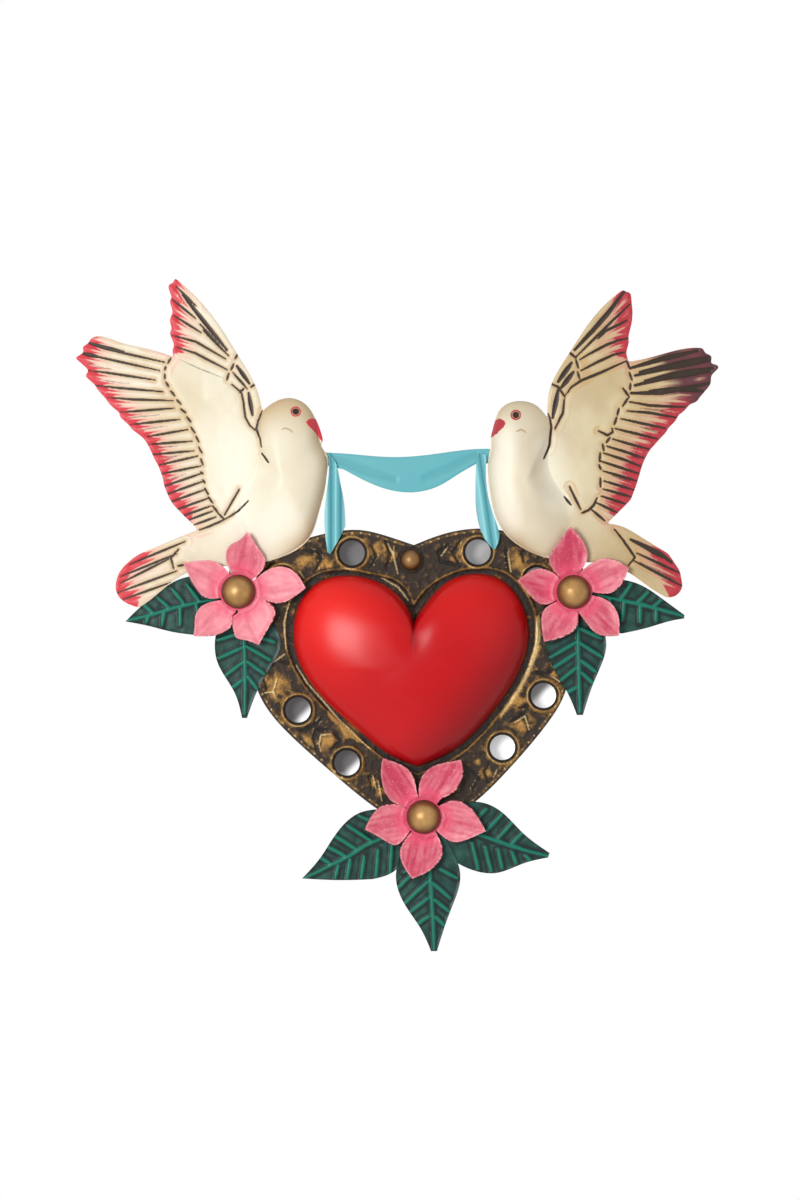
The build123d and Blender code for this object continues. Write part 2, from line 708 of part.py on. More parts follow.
# Hanger: a strap soldered behind the plate and a wire ring that swings in it
def make_hanger_strap():
    outer = bore_radius + sheet

    def across(low_y, high_y, low, high):
        box = Box(strap_width, high_y - low_y, high - low)
        return Pos(0, (low_y + high_y) / 2, (low + high) / 2) * box

    strap = across(hinge_y - outer - strap_tab_length, hinge_y + outer + strap_tab_length,
                   plate_back - sheet, plate_back)
    strap += across(hinge_y - outer, hinge_y + outer, ring_level, plate_back)
    barrel = Pos(0, hinge_y, ring_level) * (Rot(0, 90, 0) * Cylinder(outer, strap_width))
    strap += barrel
    strap -= across(hinge_y - bore_radius, hinge_y + bore_radius, ring_level, plate_back)
    bore = Cylinder(bore_radius, strap_width + overrun)
    strap -= Pos(0, hinge_y, ring_level) * (Rot(0, 90, 0) * bore)
    return strap - across(hinge_y - 2 * outer, hinge_y + 2 * outer,
                          plate_back, plate_back + outer)


def make_hanger_ring():
    # A straight bar in the strap, two legs and a half-round top, in round wire
    half = (ring_width - wire_diameter) / 2
    bend = wire_diameter
    straight = half - bend
    shoulder_y = wire_radius - half
    slack = bend * (1 - math.cos(math.radians(45)))
    path = Wire([
        Line((0, hinge_y), (straight, hinge_y)),
        ThreePointArc((straight, hinge_y), (half - slack, hinge_y + slack),
                      (half, hinge_y + bend)),
        Line((half, hinge_y + bend), (half, shoulder_y)),
        ThreePointArc((half, shoulder_y), (0, wire_radius), (-half, shoulder_y)),
        Line((-half, shoulder_y), (-half, hinge_y + bend)),
        ThreePointArc((-half, hinge_y + bend), (slack - half, hinge_y + slack),
                      (-straight, hinge_y)),
        Line((-straight, hinge_y), (0, hinge_y)),
    ])
    section = Plane(origin=(0, hinge_y, 0), z_dir=(1, 0, 0)) * Circle(wire_radius)
    return Pos(0, 0, ring_level) * sweep(section, path=path)


def write(solid, name):
    export_step(place_on_wall(solid), os.path.join("parts", name + ".step"))


def main():
    os.makedirs("parts", exist_ok=True)
    write(make_heart_plate(), "heart_plate")
    band_left, band_right = make_side_bands()
    write(band_left, "side_band_left")
    write(band_right, "side_band_right")
    write(make_red_heart(), "red_heart")
    write(make_top_stud(), "top_stud")
    write(make_top_stud_cup(), "top_stud_cup")
    write(make_dove(left_dove_runs_px, left_body_px, left_body_centre_px,
                    flower_centres_px["left"]), "left_dove")
    write(make_dove(right_dove_runs_px, right_body_px, right_body_centre_px,
                    flower_centres_px["right"]), "right_dove")
    write(make_swag(), "ribbon_swag")
    write(make_tail(left_tail_runs_px, left_tail_folds_px, left_tail_axis_px),
          "ribbon_tail_left")
    write(make_tail(right_tail_runs_px, right_tail_folds_px, right_tail_axis_px),
          "ribbon_tail_right")
    for name in flower_centres_px:
        write(make_flower(name), "flower_" + name)
        write(make_boss(name), "boss_" + name)
        write(make_post(name), "flower_post_" + name)
    for name in leaf_runs_px:
        write(make_leaf(name), name)
    write(make_hanger_strap(), "hanger_strap")
    write(make_hanger_ring(), "hanger_ring")


main()
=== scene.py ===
"""Painted tin wall ornament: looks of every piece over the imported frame.

Shapes are worked out in the front view: x to the right and y up in millimetres from the nail,
and h the height off the wall. in_frame() turns that into the ornament's own frame in metres.
Outlines and painted lines are given in picture pixels, two to a millimetre.
"""
import math

import bpy
import numpy as np
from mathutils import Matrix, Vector
from mathutils.geometry import delaunay_2d_cdt


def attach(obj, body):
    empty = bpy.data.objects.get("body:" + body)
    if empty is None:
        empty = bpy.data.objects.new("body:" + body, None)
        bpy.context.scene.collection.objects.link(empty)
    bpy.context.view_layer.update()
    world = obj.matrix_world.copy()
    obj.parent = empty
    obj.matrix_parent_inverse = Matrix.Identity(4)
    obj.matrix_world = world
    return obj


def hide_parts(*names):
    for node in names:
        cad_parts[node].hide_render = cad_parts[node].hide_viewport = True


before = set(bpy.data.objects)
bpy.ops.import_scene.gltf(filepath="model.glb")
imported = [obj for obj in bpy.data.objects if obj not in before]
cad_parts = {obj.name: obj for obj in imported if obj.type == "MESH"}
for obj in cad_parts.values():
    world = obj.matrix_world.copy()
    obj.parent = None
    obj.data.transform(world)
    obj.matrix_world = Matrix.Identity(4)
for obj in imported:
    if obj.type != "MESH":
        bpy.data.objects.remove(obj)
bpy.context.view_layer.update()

# A picture pixel in millimetres, and the nail's place in pixels
PX = 0.5
NAIL = np.array([413.0, 571.0])

# Sizes in millimetres. PLATE is the plate's front, and DOVE and FLOWER are those sheets' backs.
FINE = 0.55   # spacing of the points on the worked sheets
SHEET = 0.6
PLATE_BACK = 9.4
PLATE = PLATE_BACK + SHEET
DOVE = 11.2
DOVE_FRONT = DOVE + SHEET
DOVE_RISE = 10.5
DOVE_WALL = 0.8
FEATHER_RISE = 0.45  # how far feathers swell between their lines
SWAG_BACK = 10.6
TAIL_FOLD = 1.1
FLOWER = 14.4
FLOWER_FRONT = FLOWER + SHEET
SEAT = 9.2           # radius of a flower's flat middle
PETAL_REACH = 34.0
PETAL_DISH_FRONT = 3.4
PETAL_DISH_BACK = 3.2
BOSS_RADIUS = 8.6
BOSS_RISE = 8.2
BOSS_WALL = 0.7
MIDRIB_RISE = 0.5
VEIN_RISE = 0.4
PIN_HOLE = 1.55      # radius of the hole for a flower's post
PIN_CLEAR = 2.0      # no loose points within this reach of a pin
TAB_RADIUS = 4.5     # radius of a riveted tab's round end
TURNED_SIDES = 72


# Lines and points

def place(px):
    """Picture pixels to front-view millimetres."""
    return (np.asarray(px, float) - NAIL) * [PX, -PX]


def in_frame(flat, height):
    """Front-view places and heights to X, Y and Z in metres: Y is minus the height."""
    x, y, z = np.broadcast_arrays(flat[..., 0], -np.asarray(height, float), flat[..., 1])
    return np.stack([x, y, z], -1) * 0.001


def through(points, count):
    """A smooth line through points: a cubic in each gap, with slope and bend carried on from
    one gap to the next and no bend at the two ends, cut into count equal stretches."""
    points = np.asarray(points, float)
    last = len(points) - 1
    gap = np.linalg.norm(np.diff(points, axis=0), axis=1)[:, None]
    slope = np.diff(points, axis=0) / gap
    matrix = np.eye(last + 1)
    change = np.zeros_like(points)
    inner = np.arange(1, last)
    matrix[inner, inner - 1] = gap[:-1, 0]
    matrix[inner, inner] = 2 * (gap[:-1, 0] + gap[1:, 0])
    matrix[inner, inner + 1] = gap[1:, 0]
    change[inner] = 6 * np.diff(slope, axis=0)
    bend = np.linalg.solve(matrix, change)
    knots = np.append(0, np.cumsum(gap))
    along = np.linspace(0, knots[-1], count + 1)
    i = np.clip(np.searchsorted(knots, along, "right") - 1, 0, last - 1)
    done = (along - knots[i])[:, None]
    left = gap[i] - done
    return ((bend[i] * left ** 3 + bend[i + 1] * done ** 3) / (6 * gap[i])
            + (points[i] / gap[i] - bend[i] * gap[i] / 6) * left
            + (points[i + 1] / gap[i] - bend[i + 1] * gap[i] / 6) * done)


def through_ring(points, count):
    """A smooth closed line: the points are laid round three times and the middle round kept."""
    points = np.asarray(points, float)
    lap = len(points)
    laid = np.vstack([points, points, points, points[:1]])
    dense = through(laid, 60 * lap)
    gap = np.hypot(*np.diff(laid, axis=0).T)
    knots = np.append(0, np.cumsum(gap))
    along = np.linspace(0, knots[-1], len(dense))
    wanted = np.linspace(knots[lap], knots[2 * lap], count, endpoint=False)
    return np.stack([np.interp(wanted, along, dense[:, k]) for k in (0, 1)], 1)


def evenly(points, step):
    """A line of straight runs cut into stretches no longer than the step, corners kept."""
    points = np.asarray(points, float)
    parts = []
    for start, end in zip(points[:-1], points[1:]):
        count = max(1, math.ceil(math.dist(start, end) / step))
        parts.append(start + (end - start) * (np.arange(count) / count)[:, None])
    return np.vstack(parts + [points[-1:]])


def tab_round(before, centre, after):
    """The end of a riveted tab: from the point before it, straight to the tab's side, a half
    circle round the rivet, and on to the point after it."""
    centre = place(centre)
    out = centre - (before + after) / 2
    start = math.atan2(*out[::-1])
    side = before - centre
    turn = 1 if out[0] * side[1] - out[1] * side[0] < 0 else -1
    angles = start + turn * np.linspace(-math.pi / 2, math.pi / 2, 15)
    return centre + TAB_RADIUS * np.stack([np.cos(angles), np.sin(angles)], 1)


def outline(runs):
    """A closed outline from runs in picture pixels: smooth runs, straight runs and tabs."""
    here = place(runs[0][1][0])
    line = [here[None]]
    for number, (kind, points) in enumerate(runs):
        points = points[1:] if number == 0 else points
        if kind == "curve":
            stops = np.vstack([here, place(points)])
            length = np.hypot(*np.diff(stops, axis=0).T).sum()
            line.append(through(stops, math.ceil(length / FINE))[1:])
            here = stops[-1]
            continue
        for index, point in enumerate(points):
            if point[0] == "tab":
                after = points[index + 1] if index + 1 < len(points) else runs[number + 1][1][0]
                corner = tab_round(here, point[1], place(after))
                line.append(evenly(np.vstack([here, corner]), FINE)[1:])
                here = corner[-1]
            else:
                stop = place(point)
                if math.dist(here, stop) > 0:
                    line.append(evenly([here, stop], FINE)[1:])
                here = stop
    line.append(evenly([here, line[0][0]], FINE)[1:])
    loop = np.vstack(line)
    gone = np.hypot(*(np.roll(loop, -1, 0) - loop).T) < 1e-4
    loop = loop[~gone]
    ahead = np.roll(loop, -1, 0)
    area = (loop[:, 0] * ahead[:, 1] - loop[:, 1] * ahead[:, 0]).sum()
    return loop if area > 0 else loop[::-1]


def circle(centre, radius, step=FINE):
    """A circle of points, anticlockwise, a step or less apart, and at least 16 of them."""
    count = max(16, math.ceil(2 * math.pi * radius / step))
    angles = np.arange(count) * 2 * math.pi / count
    return centre + radius * np.stack([np.cos(angles), np.sin(angles)], 1)


def inside(points, loop):
    """True where a line from the point to the right crosses the loop an odd number of times."""
    x, y = points.T
    odd = np.zeros(len(points), bool)
    for (x0, y0), (x1, y1) in zip(loop, np.roll(loop, -1, 0)):
        if y0 == y1:
            continue
        odd ^= ((y0 > y) != (y1 > y)) & (x < x0 + (y - y0) * ((x1 - x0) / (y1 - y0)))
    return odd


def near_line(points, line):
    """How far each point is from a line of straight runs, and how far along the line its
    nearest place lies, from 0 at its start to 1 at its end."""
    line = np.asarray(line, float)
    lengths = np.hypot(*np.diff(line, axis=0).T)
    passed = np.append(0, np.cumsum(lengths))
    best = np.full(len(points), np.inf)
    where = np.zeros(len(points))
    for start, end, before, length in zip(line[:-1], line[1:], passed, lengths):
        way = end - start
        share = np.clip(((points - start) @ way) / (length * length), 0, 1)
        gap = np.hypot(*(points - start - share[:, None] * way).T)
        closer = gap < best
        best[closer] = gap[closer]
        where[closer] = before + share[closer] * length
    return best, where / passed[-1]


def near_loop(points, loop):
    """What near_line() gives, along a loop whose last point is joined to its first."""
    return near_line(points, np.vstack([loop, loop[:1]]))


def to_place(points, px):
    """How far each point is from a place in the picture, in millimetres."""
    return np.hypot(*(points - place(px)).T)


def honeycomb(loop, spacing, clear=0.6):
    """Points in staggered rows inside a loop, kept a little clear of it."""
    low, high = loop.min(0), loop.max(0)
    x, y = np.meshgrid(np.arange(low[0], high[0], spacing),
                       np.arange(low[1], high[1], spacing * 0.866))
    x[1::2] += spacing / 2
    points = np.stack([x.ravel(), y.ravel()], 1)
    points = points[inside(points, loop)]
    return points[near_loop(points, loop)[0] > clear * spacing]


def smooth(x):
    """0 below 0, 1 above 1, and an eased rise between them."""
    x = np.clip(x, 0, 1)
    return x * x * (3 - 2 * x)


def hump(x):
    """A bell: 1 at 0 and nearly nothing beyond 2."""
    return np.exp(-x * x)


def uneven(points, size, seed):
    """A smooth uneven field from -1 to 1: random values at the corners of squares of the
    given size, blended across each square with an eased share."""
    values = np.random.default_rng(seed).uniform(-1, 1, (128, 128))
    spot = points / size + 64
    corner = np.floor(spot).astype(int)
    share = spot - corner
    share = share * share * (3 - 2 * share)
    i, j = (corner % 128).T
    k, m = (i + 1) % 128, (j + 1) % 128
    low = values[i, j] * (1 - share[:, 0]) + values[k, j] * share[:, 0]
    high = values[i, m] * (1 - share[:, 0]) + values[k, m] * share[:, 0]
    return low * (1 - share[:, 1]) + high * share[:, 1]


def drawn(points, lines, width, taper=0.5):
    """How strongly brushed lines cover each point, and the distance to the nearest of them.
    A line is full within its half width, thins towards both ends and fades at its sides."""
    cover = np.zeros(len(points))
    nearest = np.full(len(points), 99.0)
    for line in lines:
        gap, share = near_line(points, place(line))
        thick = width * (1 - taper + taper * np.sin(math.pi * np.clip(share, 0.02, 0.98)))
        cover = np.maximum(cover, smooth(1.5 - gap / thick))
        nearest = np.minimum(nearest, gap)
    return cover, nearest


# Meshes

def put_out(name, data):
    """An object that holds a mesh, a lamp or a lens, placed in the scene."""
    made = bpy.data.objects.new(name, data)
    bpy.context.scene.collection.objects.link(made)
    return made


def make_piece(name, points, triangles, material, nodes, painted, crease=35,
               body="ornament"):
    """A mesh from points in metres and triangles, with painted masks kept as attributes. Edges
    that turn by more than the crease, in degrees, stay sharp."""
    mesh = bpy.data.meshes.new(name)
    mesh.vertices.add(len(points))
    mesh.vertices.foreach_set("co", np.ascontiguousarray(points, np.float32).ravel())
    mesh.loops.add(3 * len(triangles))
    mesh.loops.foreach_set("vertex_index", np.ascontiguousarray(triangles, np.int32).ravel())
    mesh.polygons.add(len(triangles))
    mesh.polygons.foreach_set("loop_start", np.arange(0, 3 * len(triangles), 3, dtype=np.int32))
    mesh.update(calc_edges=True)
    mesh.polygons.foreach_set("use_smooth", np.ones(len(triangles), bool))
    mesh.set_sharp_from_angle(angle=math.radians(crease))
    for mask, values in painted.items():
        layer = mesh.attributes.new(mask, "FLOAT", "POINT")
        layer.data.foreach_set("value", np.ascontiguousarray(values, np.float32))
    mesh.materials.append(material)
    piece = put_out(name, mesh)
    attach(piece, body)
    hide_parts(*nodes)


def cut_sheet(loops, scattered, keep):
    """Flat triangles over a cut sheet: the loops are kept as edges, scattered points lie
    between them, and a triangle stays where keep() finds its middle in the sheet."""
    points = np.vstack(loops + scattered)
    edges = []
    start = 0
    for loop in loops:
        index = np.arange(start, start + len(loop))
        edges.extend(zip(index.tolist(), np.roll(index, -1).tolist()))
        start += len(loop)
    flat, _, faces, *_ = delaunay_2d_cdt([Vector(p) for p in points.tolist()], edges, [], 0, 1e-5)
    flat = np.array(flat, float).reshape(-1, 2)
    triangles = np.array(faces, int).reshape(-1, 3)
    triangles = triangles[keep(flat[triangles].mean(1))]
    used, triangles = np.unique(triangles, return_inverse=True)
    flat, triangles = flat[used], triangles.reshape(-1, 3)
    first, second, third = flat[triangles.T]
    one, two = second - first, third - first
    turned = one[:, 0] * two[:, 1] < one[:, 1] * two[:, 0]
    triangles[turned] = triangles[turned, ::-1]
    return flat, triangles


def make_sheet(name, flat, triangles, front, back, material, nodes, painted, crease=35):
    """A closed sheet: the front, the same triangles turned over at the back, and a strip of
    side triangles along every open edge. Front and back are heights, and the masks are painted
    on the front alone."""
    count = len(flat)
    edges = np.vstack([triangles[:, [0, 1]], triangles[:, [1, 2]], triangles[:, [2, 0]]])
    keys = edges.min(1) * count + edges.max(1)
    _, first, times = np.unique(keys, return_index=True, return_counts=True)
    a, b = edges[first[times == 1]].T
    sides = np.vstack([np.stack([b, a, a + count], 1), np.stack([b, a + count, b + count], 1)])
    points = np.vstack([in_frame(flat, front), in_frame(flat, back)])
    skin = np.vstack([triangles, triangles[:, ::-1] + count, sides])
    masks = {mask: np.append(values, np.zeros(count)) for mask, values in painted.items()}
    make_piece(name, points, skin, material, nodes, masks, crease)


def closed_rings(rings, first, last):
    """A closed skin through rings of equal count, each joined to the next, with one point
    closing the first ring and one the last. The first rings widen anticlockwise."""
    rows, count = rings.shape[:2]
    points = np.vstack([rings.reshape(-1, 3), first, last])
    row, turn = np.meshgrid(np.arange(rows - 1), np.arange(count), indexing="ij")
    a = (row * count + turn).ravel()
    b = (row * count + (turn + 1) % count).ravel()
    c, d = a + count, b + count
    start, end = rows * count, rows * count + 1
    here = np.arange(count)
    ahead = (here + 1) % count
    foot = (rows - 1) * count
    triangles = np.vstack([
        np.stack([a, c, d], 1), np.stack([a, d, b], 1),
        np.stack([np.full(count, start), here, ahead], 1),
        np.stack([np.full(count, end), foot + ahead, foot + here], 1),
    ])
    return points, triangles


def turned_piece(name, profile, centre_px, material, nodes, dents=0.0, seed=0, aged=0.0):
    """A profile of reach and height turned about a line square to the wall. The profile runs
    from the axis at the front to the axis at the back, and dents press it in a little. The foot
    mask, painted shade towards the outer edge, grows from half the widest reach to the whole of
    it, above what aged gives all over."""
    profile = np.asarray(profile, float)
    centre = place(centre_px)
    angles = np.arange(TURNED_SIDES) * 2 * math.pi / TURNED_SIDES
    reach, height = profile[1:-1, 0][:, None], profile[1:-1, 1][:, None]
    flat = centre + np.stack([reach * np.cos(angles), reach * np.sin(angles)], -1)
    uneven_height = uneven(flat.reshape(-1, 2), 3.0, seed).reshape(flat.shape[:2]) - 1
    height = height + dents * uneven_height
    crown = in_frame(centre, profile[0, 1] - dents)[None]
    base = in_frame(centre, profile[-1, 1])[None]
    points, triangles = closed_rings(in_frame(flat, height), crown, base)
    # The foot mask is painted shade towards the outer edge
    foot = smooth((np.repeat(reach / profile[:, 0].max(), len(angles)) - 0.5) / 0.5)
    foot = aged + (1 - aged) * np.append(foot, [0, 0])
    make_piece(name, points, triangles, material, nodes, {"foot": foot}, crease=50)


def cap(reach, foot, rise, count):
    """The round profile of a cap, from its crown to its rim: an arc of one circle."""
    radius = (reach * reach + rise * rise) / (2 * rise)
    middle = foot + rise - radius
    angles = np.linspace(0, math.atan2(reach, foot - middle), count)
    return np.stack([radius * np.sin(angles), middle + radius * np.cos(angles)], 1)


# Materials

def colour(code):
    """An sRGB hex colour as linear light."""
    parts = [int(code[k:k + 2], 16) / 255 for k in (1, 3, 5)]
    return [*(c / 12.92 if c <= 0.04045 else ((c + 0.055) / 1.055) ** 2.4 for c in parts), 1.0]


def add(tree, kind, settings=None, links=None):
    """A node with its own settings, its socket values and its links."""
    made = tree.nodes.new(kind)
    for name, value in (settings or {}).items():
        if isinstance(name, int) or name in made.inputs:
            made.inputs[name].default_value = value
        else:
            setattr(made, name, value)
    for name, source in (links or {}).items():
        tree.links.new(source, made.inputs[name])
    return made


def start_material(name, settings):
    """A new material with its shader's own values set, its tree and its Object coordinates."""
    made = bpy.data.materials.new(name)
    made.use_nodes = True
    tree = made.node_tree
    for socket, value in settings.items():
        tree.nodes["Principled BSDF"].inputs[socket].default_value = value
    return made, tree, add(tree, "ShaderNodeTexCoord").outputs["Object"]


def finish_material(made, sources):
    """The material, with each named socket of its shader fed by an output."""
    shader = made.node_tree.nodes["Principled BSDF"]
    for socket, source in sources.items():
        made.node_tree.links.new(source, shader.inputs[socket])
    return made


def per_mm(size):
    """A pattern scale, in repeats per metre, from the size of one repeat in millimetres."""
    return 1000 / size


def coats(tree, ground, layers):
    """Coats of paint, each laid over what is there. The ground and each paint is a colour or an
    output, and a coat covers as far as an output, or the painted mask of that name, says."""
    for paint, cover in layers:
        if isinstance(cover, str):
            cover = add(tree, "ShaderNodeAttribute", {"attribute_name": cover}).outputs["Fac"]
        settings, links = {"data_type": "RGBA"}, {0: cover}
        for socket, source in ((6, ground), (7, paint)):
            if isinstance(source, str):
                settings[socket] = colour(source)
            else:
                links[socket] = source
        ground = add(tree, "ShaderNodeMix", settings, links).outputs[2]
    return ground


def broken_up(tree, mask, noise, weight, low, high):
    """A painted mask with a broken edge: a weighted noise is added to it, and the sum goes from
    no cover at low to full cover at high."""
    painted = add(tree, "ShaderNodeAttribute", {"attribute_name": mask})
    rough = add(tree, "ShaderNodeMath", {"operation": "MULTIPLY_ADD", 1: weight},
                {0: noise.outputs["Fac"], 2: painted.outputs["Fac"]})
    return add(tree, "ShaderNodeMapRange", {"From Min": low, "From Max": high},
               {"Value": rough.outputs[0]}).outputs[0]


def cream_enamel(name, light, shade, tip, blush):
    """Cream oil enamel brushed on tin, with a brown glaze wiped into the chased lines: a satin
    cream that goes tan in broad patches and paler as painted light where the painted_light mask
    says, a tan wash beside the lines that also lays painted shade towards the body's edge,
    blush, red and plum dry-brushed from the tips, and broken near black lines."""
    made, tree, spot = start_material(name, {"Roughness": 0.42, "Specular IOR Level": 0.35})
    cloud = add(tree, "ShaderNodeTexNoise", {"Scale": per_mm(34), "Detail": 3.0}, {"Vector": spot})
    grain = add(tree, "ShaderNodeTexNoise", {"Scale": per_mm(1.6), "Detail": 3.0}, {"Vector": spot})
    spread = add(tree, "ShaderNodeMapRange", {"From Min": 0.35, "From Max": 0.68},
                 {"Value": cloud.outputs["Fac"]})
    # The painted_light coat is painted light, and the wash coat holds the tan glaze and painted shade
    paint = coats(tree, light, [
        (shade, spread.outputs[0]), ("#FCF6E4", "painted_light"), ("#C99E62", "wash"), (blush, "blush"),
        (tip, broken_up(tree, "red", grain, 0.5, 0.5, 0.95)), ("#5E3036", "plum"),
        ("#2A1808", broken_up(tree, "ink", grain, 0.35, 0.35, 0.85))])
    brushed = add(tree, "ShaderNodeBump", {"Strength": 0.12, "Distance": 0.0004},
                  {"Height": grain.outputs["Fac"]})
    return finish_material(made, {"Base Color": paint, "Normal": brushed.outputs[0]})


def red_enamel():
    """Red enamel over pressed tin, sprayed and rubbed to a satin: slightly cloudy red with a
    broad soft highlight, darkened by painted shade where the deep mask says and lightened by
    painted highlights where the painted_highlight mask says."""
    made, tree, spot = start_material("red_enamel", {"Specular IOR Level": 0.25})
    cloud = add(tree, "ShaderNodeTexNoise", {"Scale": per_mm(28), "Detail": 4.0}, {"Vector": spot})
    peel = add(tree, "ShaderNodeTexNoise", {"Scale": per_mm(2.2), "Detail": 2.0}, {"Vector": spot})
    # The deep coat is painted shade, and the painted_highlight coat a painted highlight
    paint = coats(tree, "#C9030C", [("#B9030D", cloud.outputs["Fac"]), ("#7A0812", "deep"),
                                    ("#EC2620", "painted_highlight")])
    gloss = add(tree, "ShaderNodeMapRange", {"To Min": 0.28, "To Max": 0.33},
                {"Value": cloud.outputs["Fac"]})
    dimples = add(tree, "ShaderNodeBump", {"Strength": 0.05, "Distance": 0.0003},
                  {"Height": peel.outputs["Fac"]})
    return finish_material(made, {"Base Color": paint, "Roughness": gloss.outputs[0],
                                  "Normal": dimples.outputs[0]})


def rubbed_patina():
    """Dark brown lacquer on pressed tin with gold powder paint rubbed over it: nearly black
    hollows, the same dark laid as painted shade on the holes' inner slopes and as a painted
    shadow round the stud, broken gold on edges and ridges that a rag touches, and the highest
    of them pale, which is painted highlight and glint with some wear."""
    made, tree, spot = start_material("rubbed_patina",
                                      {"Roughness": 0.42, "Specular IOR Level": 0.22})
    mottle = add(tree, "ShaderNodeTexNoise",
                 {"Scale": per_mm(3.2), "Detail": 5.0, "Roughness": 0.65}, {"Vector": spot})
    speck = add(tree, "ShaderNodeTexNoise", {"Scale": per_mm(0.9), "Detail": 3.0}, {"Vector": spot})
    powder = coats(tree, "#6C4820", [("#BC9150", speck.outputs["Fac"])])
    cover = broken_up(tree, "gold", mottle, 0.8, 0.58, 0.9)
    # The dark coat is patina in hollows, painted shade on the holes' slopes and a painted shadow round the
    # stud, and the pale coat is painted highlight and glint with some wear
    paint = coats(tree, "#150E0A", [
        ("#3E2E20", mottle.outputs["Fac"]), (powder, cover), ("#120C08", "dark"),
        ("#DEC48E", broken_up(tree, "pale", speck, 0.6, 0.55, 1.0))])
    shine = add(tree, "ShaderNodeMath", {"operation": "MULTIPLY", 1: 0.5}, {0: cover})
    grit = add(tree, "ShaderNodeBump", {"Strength": 0.9, "Distance": 0.0011},
               {"Height": mottle.outputs["Fac"]})
    return finish_material(made, {"Base Color": paint, "Metallic": shine.outputs[0],
                                  "Normal": grit.outputs[0]})


def leaf_enamel():
    """Dark green enamel brushed over embossed tin, with the ribs picked out in brighter green:
    a satin leaf with bluish rubbed patches between near black hollows."""
    made, tree, spot = start_material("leaf_enamel",
                                      {"Roughness": 0.38, "Specular IOR Level": 0.24})
    streak = add(tree, "ShaderNodeTexNoise", {"Scale": per_mm(5), "Detail": 4.0}, {"Vector": spot})
    patches = add(tree, "ShaderNodeMapRange", {"From Min": 0.4, "From Max": 0.75},
                  {"Value": streak.outputs["Fac"]})
    paint = coats(tree, "#0F362F", [
        ("#2A5A51", patches.outputs[0]), ("#081513", "hollow"),
        ("#117460", broken_up(tree, "rib", streak, 0.5, 0.5, 1.1))])
    brushed = add(tree, "ShaderNodeBump", {"Strength": 0.15, "Distance": 0.0004},
                  {"Height": streak.outputs["Fac"]})
    return finish_material(made, {"Base Color": paint, "Normal": brushed.outputs[0]})


def petal_enamel():
    """Pink enamel brushed from the boss outwards: pink at the base, then deep to pale pink as
    the tone mask says, which is partly painted light and shade, streaky, with fine light
    scratches and a light worn rim."""
    made, tree, spot = start_material("petal_enamel", {"Roughness": 0.45})
    streak = add(tree, "ShaderNodeTexNoise", {"Scale": per_mm(3.5), "Detail": 4.0}, {"Vector": spot})
    rim = add(tree, "ShaderNodeAttribute", {"attribute_name": "rim"})
    worn = add(tree, "ShaderNodeMath", {"operation": "MULTIPLY"},
               {0: streak.outputs["Fac"], 1: rim.outputs["Fac"]})
    scratch = add(tree, "ShaderNodeTexNoise",
                  {"Scale": per_mm(1.4), "Detail": 2.0, "Distortion": 1.5}, {"Vector": spot})
    flecks = add(tree, "ShaderNodeMapRange", {"From Min": 0.6, "From Max": 0.74, "To Max": 0.28},
                 {"Value": scratch.outputs["Fac"]})
    paint = coats(tree, "#C43254", [
        ("#F4949F", broken_up(tree, "tone", streak, 0.45, 0.3, 1.08)), ("#E8456B", "deep"),
        ("#FBB4B8", worn.outputs[0]), ("#FFD2D0", flecks.outputs[0])])
    brushed = add(tree, "ShaderNodeBump", {"Strength": 0.15, "Distance": 0.0004},
                  {"Height": streak.outputs["Fac"]})
    return finish_material(made, {"Base Color": paint, "Normal": brushed.outputs[0]})


def ribbon_enamel():
    """Turquoise enamel on thin tin: an even satin blue-green, darker with painted shade in the
    folds and at the swag's edge, and paler with painted highlights on the tails' ridges."""
    made, tree, spot = start_material("ribbon_enamel", {"Roughness": 0.42})
    cloud = add(tree, "ShaderNodeTexNoise", {"Scale": per_mm(16), "Detail": 3.0}, {"Vector": spot})
    grain = add(tree, "ShaderNodeTexNoise", {"Scale": per_mm(1.5), "Detail": 2.0}, {"Vector": spot})
    # The fold coat is painted shade, and the painted_ridge_highlight coat a painted highlight
    paint = coats(tree, "#55AAB4", [("#62B3BB", cloud.outputs["Fac"]), ("#267F8E", "fold"),
                                    ("#84CED4", "painted_ridge_highlight")])
    brushed = add(tree, "ShaderNodeBump", {"Strength": 0.06, "Distance": 0.0003},
                  {"Height": grain.outputs["Fac"]})
    return finish_material(made, {"Base Color": paint, "Normal": brushed.outputs[0]})


def gold_paint():
    """Bronze powder paint on small tin domes: a soft metallic glow, browner where it is thin, and darker
    towards the foot as painted shade.
    """
    made, tree, spot = start_material("gold_paint", {"Roughness": 0.42, "Metallic": 0.45})
    thin = add(tree, "ShaderNodeTexNoise", {"Scale": per_mm(6), "Detail": 4.0}, {"Vector": spot})
    spread = add(tree, "ShaderNodeMapRange", {"From Min": 0.35, "From Max": 0.7},
                 {"Value": thin.outputs["Fac"]})
    # The foot coat is painted shade towards each dome's edge
    paint = coats(tree, "#BC9258", [("#9A7240", spread.outputs[0]), ("#5E3E1E", "foot")])
    grit = add(tree, "ShaderNodeBump", {"Strength": 0.08, "Distance": 0.0003},
               {"Height": thin.outputs["Fac"]})
    return finish_material(made, {"Base Color": paint, "Normal": grit.outputs[0]})


def bare_tin():
    """Unpainted tinplate, hand cut and soldered: dull grey metal with darker cloudy stains."""
    made, tree, spot = start_material("bare_tin", {"Roughness": 0.45, "Metallic": 0.9})
    stain = add(tree, "ShaderNodeTexNoise", {"Scale": per_mm(12), "Detail": 5.0}, {"Vector": spot})
    metal = coats(tree, "#A9A7A2", [("#77716A", stain.outputs["Fac"])])
    gloss = add(tree, "ShaderNodeMapRange", {"To Min": 0.35, "To Max": 0.6},
                {"Value": stain.outputs["Fac"]})
    return finish_material(made, {"Base Color": metal, "Roughness": gloss.outputs[0]})


